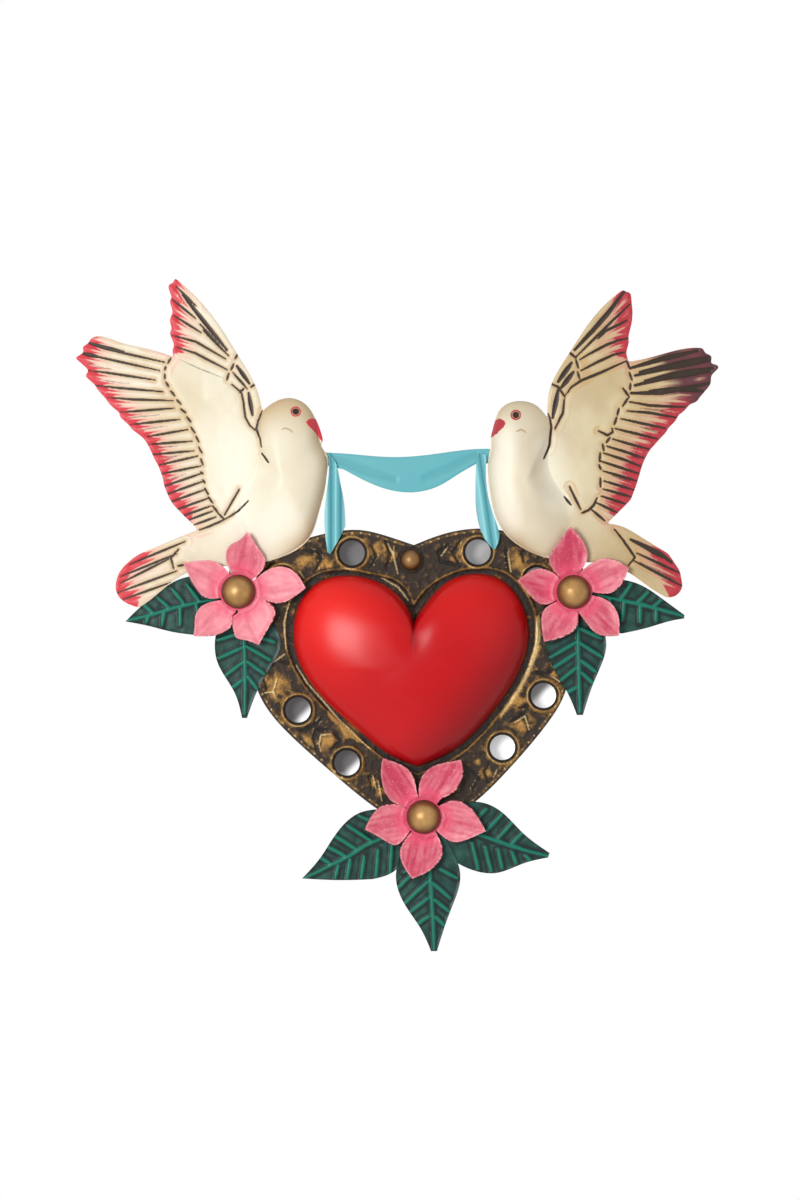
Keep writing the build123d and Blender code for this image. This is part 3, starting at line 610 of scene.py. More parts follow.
def drawn_wire():
    """Drawn steel wire: bright grey with fine scratches."""
    made, tree, spot = start_material("drawn_wire", {"Roughness": 0.3, "Metallic": 1.0})
    scratch = add(tree, "ShaderNodeTexNoise", {"Scale": per_mm(0.8), "Detail": 3.0},
                  {"Vector": spot})
    metal = coats(tree, "#B9B9B7", [("#8C8B88", scratch.outputs["Fac"])])
    return finish_material(made, {"Base Color": metal})


# Pressed heart plate

PLATE_RIGHT = [(414, 545), (440, 535), (480, 528.5), (522, 537), (552, 562), (569, 600),
               (572, 645), (563, 698), (547, 724), (510, 768), (470, 806), (420, 835)]
PLATE_LEFT = [(420, 835), (377, 809), (330, 771), (290, 735), (263, 702), (250, 660),
              (249, 620), (254, 583), (269, 558), (302, 540), (330, 532.5), (360, 530),
              (390, 537), (414, 545)]
RING_HOLES = [(352, 553), (478, 552), (282, 580), (537, 580),
              (298, 710), (347, 763), (543.5, 695.5), (502.5, 747.5)]
HEART_LEFT = [(418, 767), (397, 759), (360, 732), (321, 696), (297, 657), (294, 621),
              (305, 594), (325, 579), (352, 575.5), (377, 581), (396, 593), (409, 610),
              (414, 622)]
HEART_RIGHT = [(414, 622), (418, 615), (431, 597), (451, 579.5), (478, 573.7),
               (500, 579), (519, 598), (529, 636), (516, 678), (488, 718), (453, 751),
               (418, 767)]
HEART_CENTRE = (412, 662)
# In pixels: how far a cleft is lifted when it is filled, and how far to each side of it the
# lift is down to about a third
CLEFT_LIFT = 40
CLEFT_REACH = 24
HEART_HALF_WIDTH = 58.5
BOSS_CENTRES = {"left": (238.5, 591.6), "right": (573.4, 592), "bottom": (423.5, 816.5)}
STUD = (411, 560)
STUD_HOLE = 1.35
HOLE_RADIUS = 6.3
# Radii of a collar's round top and of the rings of points on it, and the reach that other
# points keep clear
COLLAR_MIDDLE = 7.75
COLLAR_RINGS = (6.6, 6.95, 7.3, 7.6, 7.9, 8.15, 8.4, 8.7)
COLLAR_CLEAR = 9.1
RIM_OUT = 4.15       # how far the rim runs outside the heart
BEAD_IN = 1.5        # how far the bead runs inside the edge
BEAT = 4.5           # from one beat of the bead to the next
BEAD_RISE = 0.4
RIM_RISE = 0.8
COLLAR_RISE = 1.1
RIDGE_RISE = 0.4
SPOT_RISE = 0.4
GROOVE_DEPTH = 0.48
HAMMER_DEPTH = 0.32
POST_SEAT = 6.5      # radius of the flat round a flower's post

# Grooves chased between the collars, thin ridges that carry pale painted highlights with
# some wear, and domed patches where the gold lies thick, each with its radius in pixels
SUNK = [
    [(328, 729), (316, 730), (313, 738), (316, 749)], [(369, 776), (371, 789)],
    [(304, 550), (320, 552), (321, 559), (315, 571)], [(448, 544), (438, 553), (441, 562), (456, 565)],
    [(510, 722), (524, 713), (529, 731)], [(385, 541), (390, 554), (386, 569)],
    [(371, 545), (376, 556), (371, 566)], [(460, 541), (452, 552), (460, 566)],
    [(527, 543), (522, 553), (524, 562)], [(548, 568), (556, 574)], [(262, 573), (270, 566), (281, 562)],
    [(325, 572), (338, 575)], [(262, 676), (266, 688), (264, 700)], [(335, 733), (341, 741), (332, 749)],
    [(257, 668), (268, 668), (277, 660), (290, 664)], [(300, 731), (313, 726), (322, 718)],
    [(556, 668), (545, 674), (537, 672)], [(566, 650), (557, 655), (553, 664)],
    [(489, 764), (484, 772), (488, 782)], [(472, 771), (479, 778), (473, 789)],
    [(254, 640), (262, 643), (268, 636)], [(533, 700), (526, 707), (519, 708)],
    [(506, 548), (507, 560), (509, 572)],
]
RIDGES = [
    [(331, 734), (321, 735), (319, 744), (321, 752)], [(277, 678), (273, 692)],
    [(264, 693), (273, 692), (276, 699)], [(274, 662), (286, 653), (288, 648)], [(286, 653), (289, 660)],
    [(373, 776), (376, 789)], [(286, 565), (300, 572), (307, 583)], [(388, 544), (394, 556)],
    [(394, 546), (394, 558), (398, 574)], [(448, 547), (441, 556)], [(508, 553), (511, 573)],
    [(514, 723), (525, 716), (529, 730)], [(378, 780), (382, 801)], [(560, 682), (553, 677)],
    [(497, 770), (493, 779)],
]
GOLD_SPOTS = [
    (309, 740, 7), (327, 742, 8), (276, 686, 12), (304, 560, 9), (327, 564, 8), (378, 549, 8),
    (462, 545, 6), (518, 559, 9), (521, 726, 9), (372, 783, 5), (487, 774, 6), (556, 672, 6),
    (393, 555, 5), (292, 612, 4), (497, 785, 4), (348, 729, 9), (519, 700, 6), (534, 740, 4),
    (262, 655, 4), (478, 762, 4), (380, 792, 5), (454, 557, 5),
]
# Where the inner rim is palest and where it is thinly pale, in painted highlight with some
# rubbing, and its broad brown gold
RIM_BRIGHT = [[(538, 618), (538, 645), (531, 672), (521, 690), (502, 716)]]
RIM_THIN = [[(296, 665), (307, 683), (324, 702), (338, 719), (370, 749)],
            [(290, 600), (284, 622), (286, 650)], [(382, 578), (398, 587), (408, 600)]]
RIM_BROAD = [[(330, 716), (359, 740)]] + RIM_BRIGHT
UNDER_LEAVES = ["left_leaf_lower", "right_leaf_lower", "bottom_leaf_left", "bottom_leaf_middle",
                "bottom_leaf_right"]


def heart_loop(fill, count):
    """The red heart's outline, anticlockwise from the tip, with its cleft lifted by a share
    of the whole lift, which dies away to each side."""
    halves = []
    for side in (HEART_LEFT, HEART_RIGHT):
        px = np.array(side, float)
        away = (px[:, 0] - HEART_LEFT[-1][0]) / CLEFT_REACH
        px[:, 1] -= np.where(px[:, 1] < HEART_CENTRE[1], CLEFT_LIFT * fill * hump(away), 0)
        halves.append(through(place(px), count))
    return np.vstack([halves[0][:-1], halves[1][:-1]])[::-1]


def around_heart(fill, scale):
    """The red heart's outline scaled about the heart's middle."""
    middle = place(HEART_CENTRE)
    return middle + (heart_loop(fill, 130) - middle) * scale


def plate_edge(right_count, left_count):
    """The plate's outline, anticlockwise, with its halves cut into the given counts."""
    right = through(place(PLATE_RIGHT), right_count)
    left = through(place(PLATE_LEFT), left_count)
    return np.vstack([right[:-1], left[:-1]])[::-1]


def pin_hole(name):
    """The hole for the post of a flower."""
    return circle(place(BOSS_CENTRES[name]), PIN_HOLE, 0.5)


def plate_sheet(edge):
    """The plate cut flat: its outline, the punched holes and the two pin holes are kept as
    edges, rings of points follow each collar, and the points lie wide apart only where the red
    heart hides them."""
    hidden = around_heart(0, 0.93)
    holes = [circle(place(px), HOLE_RADIUS, 0.5) for px in RING_HOLES]
    holes += [circle(place(STUD), STUD_HOLE, 0.5), pin_hole("bottom")]
    rings = [circle(place(px), radius, 0.6) for px in RING_HOLES for radius in COLLAR_RINGS]
    rings = [ring[inside(ring, edge)] for ring in rings]
    grid = honeycomb(edge, FINE * 1.15)
    free = ~inside(grid, hidden)
    for px in RING_HOLES:
        free &= to_place(grid, px) > COLLAR_CLEAR
    for px in (STUD, BOSS_CENTRES["bottom"]):
        free &= to_place(grid, px) > PIN_CLEAR
    coarse = honeycomb(hidden, 4.0)
    coarse = coarse[to_place(coarse, STUD) > 3]

    def keep(middles):
        kept = inside(middles, edge)
        for hole in holes:
            kept &= ~inside(middles, hole)
        return kept

    return cut_sheet([edge] + holes, [grid[free], coarse] + rings, keep)


def make_plate(material):
    """The plate's height at each point is the flat sheet plus an edge bead that beats along the
    edge, a rim that follows the red heart and a rounded collar round each hole. In the open
    field between them it also has raised ridges and spots, sunk grooves and a hammered
    unevenness. It is flat under the heart and the lower leaves, and round the posts.

    Gold lies on the bead, the rim, the collars and the spots. Pale lies along the
    brightest rim, on ridges, collar crests and beats, and in glints beside the grooves: it is
    painted highlight and glint, with some wear. Dark lies in the grooves and inside the rim,
    and as painted shade on the holes' inner slopes and a painted shadow round the stud, where
    gold and pale are held back too."""
    edge = plate_edge(420, 430)
    flat, triangles = plate_sheet(edge)
    gap, along = near_loop(flat, edge)
    girth = np.hypot(*(np.roll(edge, -1, 0) - edge).T).sum()
    beat = smooth(1.4 * np.cos(along * 2 * math.pi * round(girth / BEAT)) - 0.2)
    bead = hump((gap - BEAD_IN) / 0.7)
    rim = around_heart(0.35, 1 + RIM_OUT / HEART_HALF_WIDTH)
    rim_gap = near_loop(flat, rim)[0]
    rim_line = hump(rim_gap / 0.62)
    to_hole = np.min([to_place(flat, px) for px in RING_HOLES], 0)
    collar = hump(np.maximum(0, np.abs(to_hole - COLLAR_MIDDLE) - 0.3) / 0.6)
    sunk, to_sunk = drawn(flat, SUNK, 0.85, 0.3)
    ridges, _ = drawn(flat, RIDGES, 0.55, 0.3)
    spots = np.max([hump(to_place(flat, spot[:2]) / (spot[2] * PX)) for spot in GOLD_SPOTS], 0)
    open_field = smooth((rim_gap - 0.8) / 0.8) * smooth((gap - 2.2) / 0.8)
    open_field = open_field * smooth((to_hole - 8.6) / 0.6)
    hammered = 0.5 * uneven(flat, 2.3, 3) + 0.35 * uneven(flat, 1.1, 4)
    hammered += 0.5 * uneven(flat @ np.array([[0.7, 0.7], [-0.7, 0.7]]), 3.4, 5)
    lift = (BEAD_RISE * bead * (0.45 + 0.55 * beat) + RIM_RISE * rim_line * (1 - collar)
            + COLLAR_RISE * collar
            + open_field * (RIDGE_RISE * ridges - GROOVE_DEPTH * sunk + SPOT_RISE * spots
                            + HAMMER_DEPTH * hammered))
    covered = inside(flat, around_heart(0, 1.004))
    for name in UNDER_LEAVES:
        covered |= inside(flat, outline(LEAVES[name]["runs"]))
    front = np.minimum(PLATE + np.where(covered, 0, lift), DOVE)
    for px in BOSS_CENTRES.values():
        front = np.where(to_place(flat, px) < POST_SEAT, PLATE, front)

    painted_light, _ = drawn(flat, RIM_BRIGHT, 2.2, 0.6)
    thin, _ = drawn(flat, RIM_THIN, 0.6, 0.3)
    broad, _ = drawn(flat, RIM_BROAD, 2.6, 0.5)
    glints = (smooth((uneven(flat, 1.0, 12) - 0.3) / 0.15) * hump((to_sunk - 1.1) / 0.6)
              * smooth((uneven(flat, 6, 13) + 0.2) / 0.2))
    crest = hump((to_hole - 8.25) / 0.38)
    # Painted shade on the holes' inner slopes
    slope = smooth((7.9 - to_hole) / 0.5)
    # A painted shadow round the stud
    painted_stud_shadow = smooth((7.6 - to_place(flat, STUD)) / 1.2)
    gold = np.clip(0.14 + 0.16 * bead + 0.26 * rim_line + 0.5 * broad * hump(rim_gap / 2.0)
                   + 0.34 * hump((to_hole - 8.2) / 0.8)
                   + open_field * (0.45 * spots + 0.2 * hammered - 0.04), 0, 1)
    # Pale is painted highlight and glint on the rim, ridges, crests and beats, with some wear
    pale = np.maximum.reduce([
        0.8 * painted_light * hump(rim_gap / 1.5), 0.55 * thin, 0.55 * ridges * open_field,
        0.55 * crest * (0.75 + 0.5 * uneven(flat, 4, 8)), 0.5 * bead * beat,
        0.45 * glints * open_field])
    groove = smooth((3.1 - rim_gap) / 1.2) * (1 - rim_line) * inside(flat, rim) * (1 - 0.8 * collar)
    # Dark: patina in the grooves and inside the rim, painted shade on the slopes and the painted stud
    # shadow
    dark = np.maximum.reduce([0.95 * sunk * open_field * (1 - ridges), 0.75 * slope, 0.85 * groove,
                              0.8 * painted_stud_shadow])
    # Gold and pale are held back under the painted stud shadow
    masks = {"gold": gold * (1 - 0.8 * painted_stud_shadow), "pale": pale * (1 - 0.8 * painted_stud_shadow), "dark": dark}
    make_sheet("pressed_plate", flat, triangles, front, PLATE_BACK, material, ["heart_plate"],
               masks, crease=60)


# Red heart

# Shares of the dome's size, its rise and the fill of its cleft, from its foot to its crown
HEART_DOME = np.array([(1.0, 0.0, 0.0), (0.985, 0.175, 0.01), (0.94, 0.36, 0.04),
                       (0.86, 0.55, 0.1), (0.73, 0.73, 0.22), (0.55, 0.875, 0.45),
                       (0.33, 0.965, 0.78), (0.08, 1.0, 1.0)])
HEART_RISE = 20.0
HEART_WALL = 0.7
VALLEY_DEPTH = 1.9
# Middles of the painted highlights on the red, at the upper left and on the right lobe
PAINTED_HIGHLIGHT_LEFT = (328, 612)
PAINTED_HIGHLIGHT_RIGHT = (462, 584)


def blurred(loop, reach):
    """A closed loop with its corners rounded: each wave along it is damped by a bell of its
    number of turns times the reach, in points."""
    turns = np.fft.fftfreq(len(loop))[:, None] * 2 * math.pi * reach
    return np.fft.ifft(np.fft.fft(loop, axis=0) * hump(turns / math.sqrt(2)), axis=0).real


def make_heart(material):
    """The heart is stacked outlines: each is the outline at the foot, scaled about the heart's
    middle, with its tip rounder and its cleft filled more the higher it lies. A second stack
    inside it, scaled from a slightly smaller outline, makes it a hollow shell, and a soft
    valley runs down between the lobes. The red is darkened with painted shade to the lower
    right and in the cleft's crease, and lightened with painted highlights round the upper left
    and on the right lobe."""
    middle = place(HEART_CENTRE)
    outer, inner = [], []
    for share, rise, fill in through(HEART_DOME, 64)[::-1]:
        loop = heart_loop(fill, 220) - middle
        soft = blurred(loop, 42 * min(1, 2.2 * (1 - share)))
        loop += (soft - loop) * smooth((-loop[:, 1:] - 4) / 22)
        outer.append(in_frame(middle + loop * share, PLATE + HEART_RISE * rise))
        inner.append(in_frame(middle + loop * (share * 0.986), PLATE + (HEART_RISE - HEART_WALL) * rise))
    crown = in_frame(middle, PLATE + HEART_RISE)[None]
    under = in_frame(middle, PLATE + HEART_RISE - HEART_WALL)[None]
    points, triangles = closed_rings(np.array(outer + inner[::-1]), crown, under)
    flat = points[:, [0, 2]] * 1000
    away = flat - middle
    raised = smooth((-points[:, 1] * 1000 - PLATE) / 8)
    valley = hump((away[:, 0] - 0.7) / 6.5) * smooth((away[:, 1] + 4) / 26) * raised
    points[:, 1] += VALLEY_DEPTH * valley / 1000
    # Painted shade to the lower right and in the cleft's crease
    turned_off = away @ np.array([0.7, -0.6]) / HEART_HALF_WIDTH
    crease = (hump((away[:, 0] - 0.7) / 1.7) * smooth((away[:, 1] - 3) / 9)
              * smooth((34 - away[:, 1]) / 6))
    # Painted highlights round the upper left and on the right lobe
    pale = np.maximum(smooth(1 - to_place(flat, PAINTED_HIGHLIGHT_LEFT) / 46),
                      0.4 * smooth(1 - to_place(flat, PAINTED_HIGHLIGHT_RIGHT) / 36))
    masks = {"deep": np.maximum(0.72 * smooth((turned_off - 0.22) / 0.5), 0.6 * crease),
             "painted_highlight": pale * raised}
    make_piece("domed_heart", points, triangles, material, ["red_heart"], masks,
               crease=60)


# Doves

DOVE_DOME = [(1.0, 0.0), (0.975, 0.17), (0.92, 0.36), (0.82, 0.58), (0.68, 0.77), (0.5, 0.91),
             (0.28, 0.985), (0.07, 1.0), (0.0, 1.0)]

LEFT_DOVE = {
    "runs": [
        ("curve", [(175, 278), (190, 291), (217, 322), (241, 360), (256, 387), (262.5, 411)]),
        ("curve", [(275, 401.8), (290, 398), (306.4, 405), (314.8, 417), (320.5, 430.6),
                   (323.5, 441.5)]),
        ("curve", [(321, 444.5), (326.3, 453), (327.6, 468.5), (325.4, 486.5), (318, 516),
                   (309, 539), (295, 551), (268, 561.5)]),
        ("line", [(248, 566), ("tab", BOSS_CENTRES["left"]), (229, 566)]),
        ("curve", [(188, 572.5), (172.6, 581.5), (151, 599.4), (139, 608)]),
        ("line", [(127, 603.5), (121, 599.4), (117.4, 594.7), (115.4, 587.5), (116.5, 579.5),
                  (119.5, 572), (124.5, 565.7), (132, 559), (139.5, 554)]),
        ("curve", [(161, 545), (180, 537), (198, 530)]),
        ("line", [(191, 522), (186, 518), (180, 511.5), (174, 505.5), (170, 499.5),
                  (166.5, 491.5), (164, 485), (163, 478), (158.5, 466), (155, 460),
                  (151, 451), (146.3, 441.8), (141.8, 436.7), (131.5, 429), (130, 426),
                  (120, 417), (119.4, 412.3), (114, 408.5), (108.5, 403), (106.5, 399.5),
                  (97, 389), (95.6, 385.5), (85, 376), (89, 370.5), (81, 363), (75, 358),
                  (84, 352.5), (82.3, 347), (89, 343), (90, 339.2)]),
        ("curve", [(93, 337.5), (118.7, 341.8), (150, 349.5), (174, 357)]),
        ("line", [(172, 351), (174.5, 345.5), (169.5, 333), (172, 329), (169.5, 320),
                  (173, 312), (169.5, 301), (172, 298), (168, 287), (169, 284), (173, 283.5),
                  (175, 278)]),
    ],
    "body": [(320, 446), (325, 457), (326, 470), (323.8, 486), (316.5, 515), (307.5, 537),
             (293, 549), (270, 557), (254, 548), (243, 532), (237, 513), (242, 493),
             (253, 470), (260, 453), (259, 438), (259.5, 426), (264, 413), (276, 403.5),
             (290, 400), (305, 406.5), (313, 418)],
    "centre": (285, 482),
    "tips": [[(175, 278), (168, 287), (171, 300), (171, 320), (170, 333), (173, 346), (174, 357)],
             [(89, 343), (79, 358), (88, 373), (97, 389), (110, 405), (131, 428), (147, 443),
              (157, 464), (164, 486), (172, 503), (186, 518), (195, 527)],
             [(139, 554), (124, 566), (116, 582), (118, 596), (139, 607)]],
    "strong": [  # wide dark strokes
        [(183, 295), (206, 324), (227, 350)], [(89, 343), (106, 348), (124, 352)],
        [(83, 353.5), (99, 357)],
        [(237, 366), (249.5, 383.5)], [(248.7, 393), (252.6, 415)],
    ],
    "feathers": [
        [(176.4, 286.7), (196, 306)], [(200, 324), (221, 347)],
        [(90, 344), (118.7, 352), (165, 362.3)], [(83, 353.5), (103, 358), (159.7, 370.6)],
        [(172.6, 299.5), (196, 318.7)], [(173.8, 315.5), (201.4, 332.8)], [(203, 330), (229, 356)],
        [(172.6, 335.4), (196, 341.8), (225.8, 359)], [(176.4, 347), (195.6, 353.3), (227.7, 370)],
        [(89, 370.6), (106, 372.6), (155.3, 380)], [(95.6, 385.4), (118.7, 388), (163.6, 391.8)],
        [(108.5, 397.6), (134, 399.5), (173.8, 400.8)], [(121, 412.3), (175, 408.2)],
        [(131.5, 424.5), (180.3, 419.4)], [(147, 436.7), (188, 429.6)],
        [(149.5, 444.4), (192.4, 441.2)], [(152, 454.6), (194.4, 450.8)],
        [(159.7, 465), (198.2, 456)], [(161, 474), (201, 466)], [(162, 487), (203, 473)],
        [(165, 495), (204, 481)], [(168, 503), (204, 490)], [(173, 511), (209, 498)],
        [(180, 517), (211, 506)], [(186, 521), (213, 511)], [(194, 525), (216, 517)],
        [(233, 372.5), (247.6, 389)],
        [(185.4, 541.5), (150, 556), (130, 564.4)], [(177, 553.7), (121, 576.5)],
        [(169, 559), (121, 583)], [(177, 571), (118, 592.7)], [(170.6, 582.6), (123.5, 599.4)],
    ],
    "faint": [
        [(180, 359.7), (199.5, 368.7), (223.8, 378.3)], [(84, 362), (103, 368), (112, 369)],
        [(100, 380), (130, 384)], [(126, 418), (160, 415)], [(138, 430), (168, 426)],
        [(150, 449), (178, 446)], [(158, 460), (182, 455)], [(163, 481), (186, 474)],
    ],
    "fine": [
        [(224.7, 515), (239.4, 489.2)], [(227.6, 518), (238, 511.3), (248.3, 501)],
        [(199.6, 529.8), (208.5, 526.8), (221.7, 521), (227, 518)],
        [(262, 411.5), (258.3, 421), (256.4, 429), (258.3, 434), (260.3, 439), (261.5, 447)],
        [(262, 453.5), (265.4, 458), (269, 463)],
        [(232, 384.5), (238.5, 390), (241.7, 393), (243.6, 402), (244.2, 408), (245.5, 417),
         (249.4, 425), (255, 430)],
        [(179, 549), (171, 558), (174, 569)], [(178, 566), (184, 565)],
        [(171, 358), (168, 363)], [(166, 367), (165, 370)], [(165, 374), (165, 379)],
        [(166, 382), (169, 387)], [(171, 391), (175, 396)], [(177, 400), (181, 404)],
        [(181, 409), (186, 413)], [(187, 417), (191, 422)], [(191, 427), (195, 433)],
        [(196, 436), (199, 442)], [(199, 447), (202, 453)], [(201, 459), (203, 465)],
        [(201, 472), (203, 474)], [(203, 480), (205, 483)], [(205, 488.5), (208.5, 494.4)],
        [(208.5, 497), (213, 503)], [(213, 506), (219, 514)], [(219, 514), (224, 519)],
        [(251, 387), (256, 384)], [(240, 392.5), (244, 388.5)], [(238, 354), (235, 359)],
        [(234, 364), (231, 370)], [(229, 373), (227, 380)],
    ],
    "cheek": [[(282, 430), (286, 428.5), (290, 430), (293.6, 433)]],
    "beak": [(306, 423.5), (308, 420.5), (312.5, 418.5), (316, 419), (318.6, 423.6),
             (320.5, 430.6), (322.4, 436.4), (323.5, 441.5), (322, 442), (318, 436.4),
             (314, 431.3), (309.6, 426.8)],
    "eye": (296, 412),
    "post": "left",
    "wing_side": (-0.95, -0.3),
    "plum": [],
    # Painted light: lines round which the cream is painted paler, each with its reach and weight
    "painted_light": [([(235, 450), (244, 500), (250, 540), (275, 520)], 17, 0.7)],
    # Painted shade: how strongly the body darkens towards its edge
    "painted_rim_shade": 0.6,
    "brush": 1.0,
}

RIGHT_DOVE = {
    "runs": [
        ("curve", [(547.4, 418), (549.5, 390), (557, 372.6), (570, 352), (589.3, 322.6),
                   (610, 300), (623, 289.6)]),
        ("line", [(626.3, 292), (630.7, 292.8), (632.6, 311.7), (632, 321.4), (628.2, 337),
                  (629, 342), (626, 353), (628.5, 362)]),
        ("curve", [(640, 359.8), (670, 352), (690, 348), (703, 348)]),
        ("line", [(704.7, 353), (712, 356), (710.5, 363.4), (718, 365.3), (719, 367.7),
                  (711, 375.6), (710.8, 384), (703.8, 392.7), (699, 398), (697, 401.8),
                  (689.8, 404.2), (683.7, 411.5), (678.8, 414.6), (675.2, 421.3),
                  (667.6, 428.6), (666.7, 431.6), (658, 440.8), (649, 451), (643.5, 461.5),
                  (641.5, 467.5), (636, 486), (630.7, 499.8), (625, 505.7), (613, 517.5),
                  (607, 523.4)]),
        ("curve", [(620, 525.8), (639.5, 536), (668.3, 553.6)]),
        ("line", [(675.7, 564.7), (680, 571.3), (682.6, 586), (680, 592), (675, 596.4),
                  (667.5, 598)]),
        ("curve", [(654.3, 590.5), (638.8, 579.4), (622, 569), (583, 562)]),
        ("line", [("tab", BOSS_CENTRES["right"]), (564, 561)]),
        ("curve", [(540, 556), (521, 547), (504.6, 533), (495.8, 517.5), (490.6, 498.4),
                   (488, 478.5), (488.4, 460), (491.4, 443)]),
        ("line", [(490.5, 438)]),
        ("curve", [(494.3, 423.2), (499.2, 410.6), (508.3, 403.3), (520, 401), (535, 404.7),
                   (547.4, 418)]),
    ],
    "body": [(492.5, 447), (490, 460), (489.6, 478.5), (492.2, 498), (497.3, 517),
             (506, 532), (522, 545.3), (541, 554), (556, 553), (568, 541), (574, 522),
             (569, 500), (557, 478), (549.5, 456), (550, 436), (549.5, 424),
             (544, 414.5), (534, 406), (520, 402.6), (509, 405), (501, 412),
             (496, 424), (493, 436)],
    "centre": (524, 484),
    "tips": [[(626, 291), (632, 300), (632, 321), (628, 338), (628, 352), (627, 360)],
             [(704, 350), (716, 366), (711, 384), (699, 398), (684, 411), (667, 430),
              (649, 451), (641, 468), (635, 488), (626, 504), (610, 520)],
             [(668, 554), (679, 570), (682, 587), (668, 597)]],
    "strong": [
        [(625.3, 290.4), (608.2, 313), (592.4, 331), (574.7, 350)],
        [(630, 368.3), (661.8, 359), (698, 350.6)], [(635, 375.6), (661.8, 369), (710.5, 360.4)],
        [(640, 372), (668, 366), (709, 357)],
        [(635, 385.4), (661.8, 378.7), (710.5, 371.3)], [(645, 381), (672, 374.5), (713, 368)],
        [(631, 393.3), (661.8, 392.7), (709, 383.5)], [(650, 391), (676, 389), (703, 391)],
        [(571.7, 362.8), (558.3, 381.7)], [(573.5, 372), (561.3, 387.8)],
        [(558.3, 389.6), (552.8, 417.6)], [(630.7, 539.6), (660, 553.6), (672, 562.5)],
        [(640, 544), (665, 558)],
    ],
    "feathers": [
        [(630, 304.4), (615.5, 317.8), (605.8, 327.5), (591, 342), (576, 357)],
        [(627.7, 320), (618, 325), (605.8, 331), (598, 339)],
        [(629.5, 338), (618, 340.3), (605.8, 345.2), (588.7, 354.3), (580, 359.8)],
        [(625.3, 352), (613, 355), (598.5, 361.6), (581, 370.7)],
        [(626.5, 361), (613, 367), (601, 372.6), (581.4, 380.5), (571.7, 387), (566, 394.5)],
        [(629.5, 401.8), (649.6, 405.5), (686, 407.3)], [(627, 411), (649.6, 412.8), (676.4, 417.6)],
        [(621, 418.8), (643.5, 423.7), (666.7, 428.6)], [(615, 428.6), (637.4, 434), (658, 439)],
        [(612.5, 439), (631, 444.4), (649.6, 449.3)], [(607, 446.3), (625, 451.7), (643.5, 457.8)],
        [(603.3, 453), (625, 460), (641, 466.3)], [(600, 461), (640, 474)], [(603, 471), (637, 481)],
        [(604, 481), (634, 490)], [(603, 489), (632, 497)], [(601, 496), (626, 504)],
        [(597, 503), (618, 513)], [(592, 510), (605, 521)],
        [(636.6, 553), (679.3, 572.8)], [(634.4, 561), (682, 586)],
    ],
    "faint": [
        [(640, 408), (672, 412)], [(640, 427), (660, 433)], [(632, 456), (640, 459)],
        [(612, 476), (630, 481)], [(640, 562), (676, 580)],
    ],
    "fine": [
        [(548, 413.6), (550.3, 420), (551.4, 427), (550.3, 436), (549.6, 444.5), (546.7, 452),
         (543.7, 458.6)],
        [(569.5, 486.6), (580.6, 509.4)], [(564.4, 497), (571, 505)], [(582, 513), (589, 510)],
        [(569, 352), (576, 358)], [(576, 360), (578.4, 367.7)], [(577.8, 372), (579.6, 378.7)],
        [(551.6, 384), (558.3, 387), (565, 397)], [(564.4, 399.4), (563, 412.8), (555.2, 428.6)],
        [(627, 361.6), (630, 369)], [(629.5, 372.6), (632, 380)], [(630.7, 383.5), (630, 389.6)],
        [(622.8, 388.4), (629.5, 397)], [(628.3, 398), (622.8, 406)], [(619, 408.5), (617.3, 415)],
        [(616.7, 417.6), (614.3, 424.3)],
        [(612, 428.6), (613, 432), (607.6, 435.3), (598.5, 431)], [(610, 437.7), (606.4, 442.6)],
        [(602.7, 444.4), (604, 450.5)], [(600.3, 453), (599.7, 461.5)], [(599, 465), (601, 469.4)],
        [(600.5, 478), (600.5, 487)], [(597, 498), (594, 505), (589, 510), (583, 513)],
        [(614.5, 529.3), (623.3, 540.4), (635, 557.3), (628.5, 565.4)],
    ],
    "cheek": [[(516, 432), (521, 430), (526, 433)]],
    "beak": [(490.5, 438), (492, 429), (494.3, 423.2), (495.8, 420.2), (499, 419), (504, 421),
             (505, 424.6), (502.4, 428.3), (498, 432.8)],
    "eye": (515.5, 415.4),
    "post": "right",
    "wing_side": (0.97, 0.05),
    "plum": [[(704, 350), (716, 366), (711, 382), (700, 396)], [(672, 357), (690, 366), (688, 384)]],
    # Painted light: lines round which the cream is painted paler, each with its reach and weight
    "painted_light": [([(496, 440), (491, 475), (499, 518)], 17, 0.9),
               ([(518, 425), (526, 470), (536, 520)], 24, 0.5),
               ([(544, 450), (549, 478), (556, 500)], 12, 0.75)],
    # Painted shade: how strongly the body darkens towards its edge
    "painted_rim_shade": 0.2,
    "brush": 1.2,
}


def share_of(points, centre, loop):
    """Where a point lies on its way from a centre to a loop: 0 at the centre, 1 on the loop."""
    around = loop - centre
    angle = np.arctan2(around[:, 1], around[:, 0])
    order = np.argsort(angle)
    angle, reach = angle[order], np.hypot(*around[order].T)
    angle = np.concatenate([angle - 2 * math.pi, angle, angle + 2 * math.pi])
    reach = np.tile(reach, 3)
    away = points - centre
    edge = np.interp(np.arctan2(away[:, 1], away[:, 0]), angle, reach)
    return np.hypot(*away.T) / edge


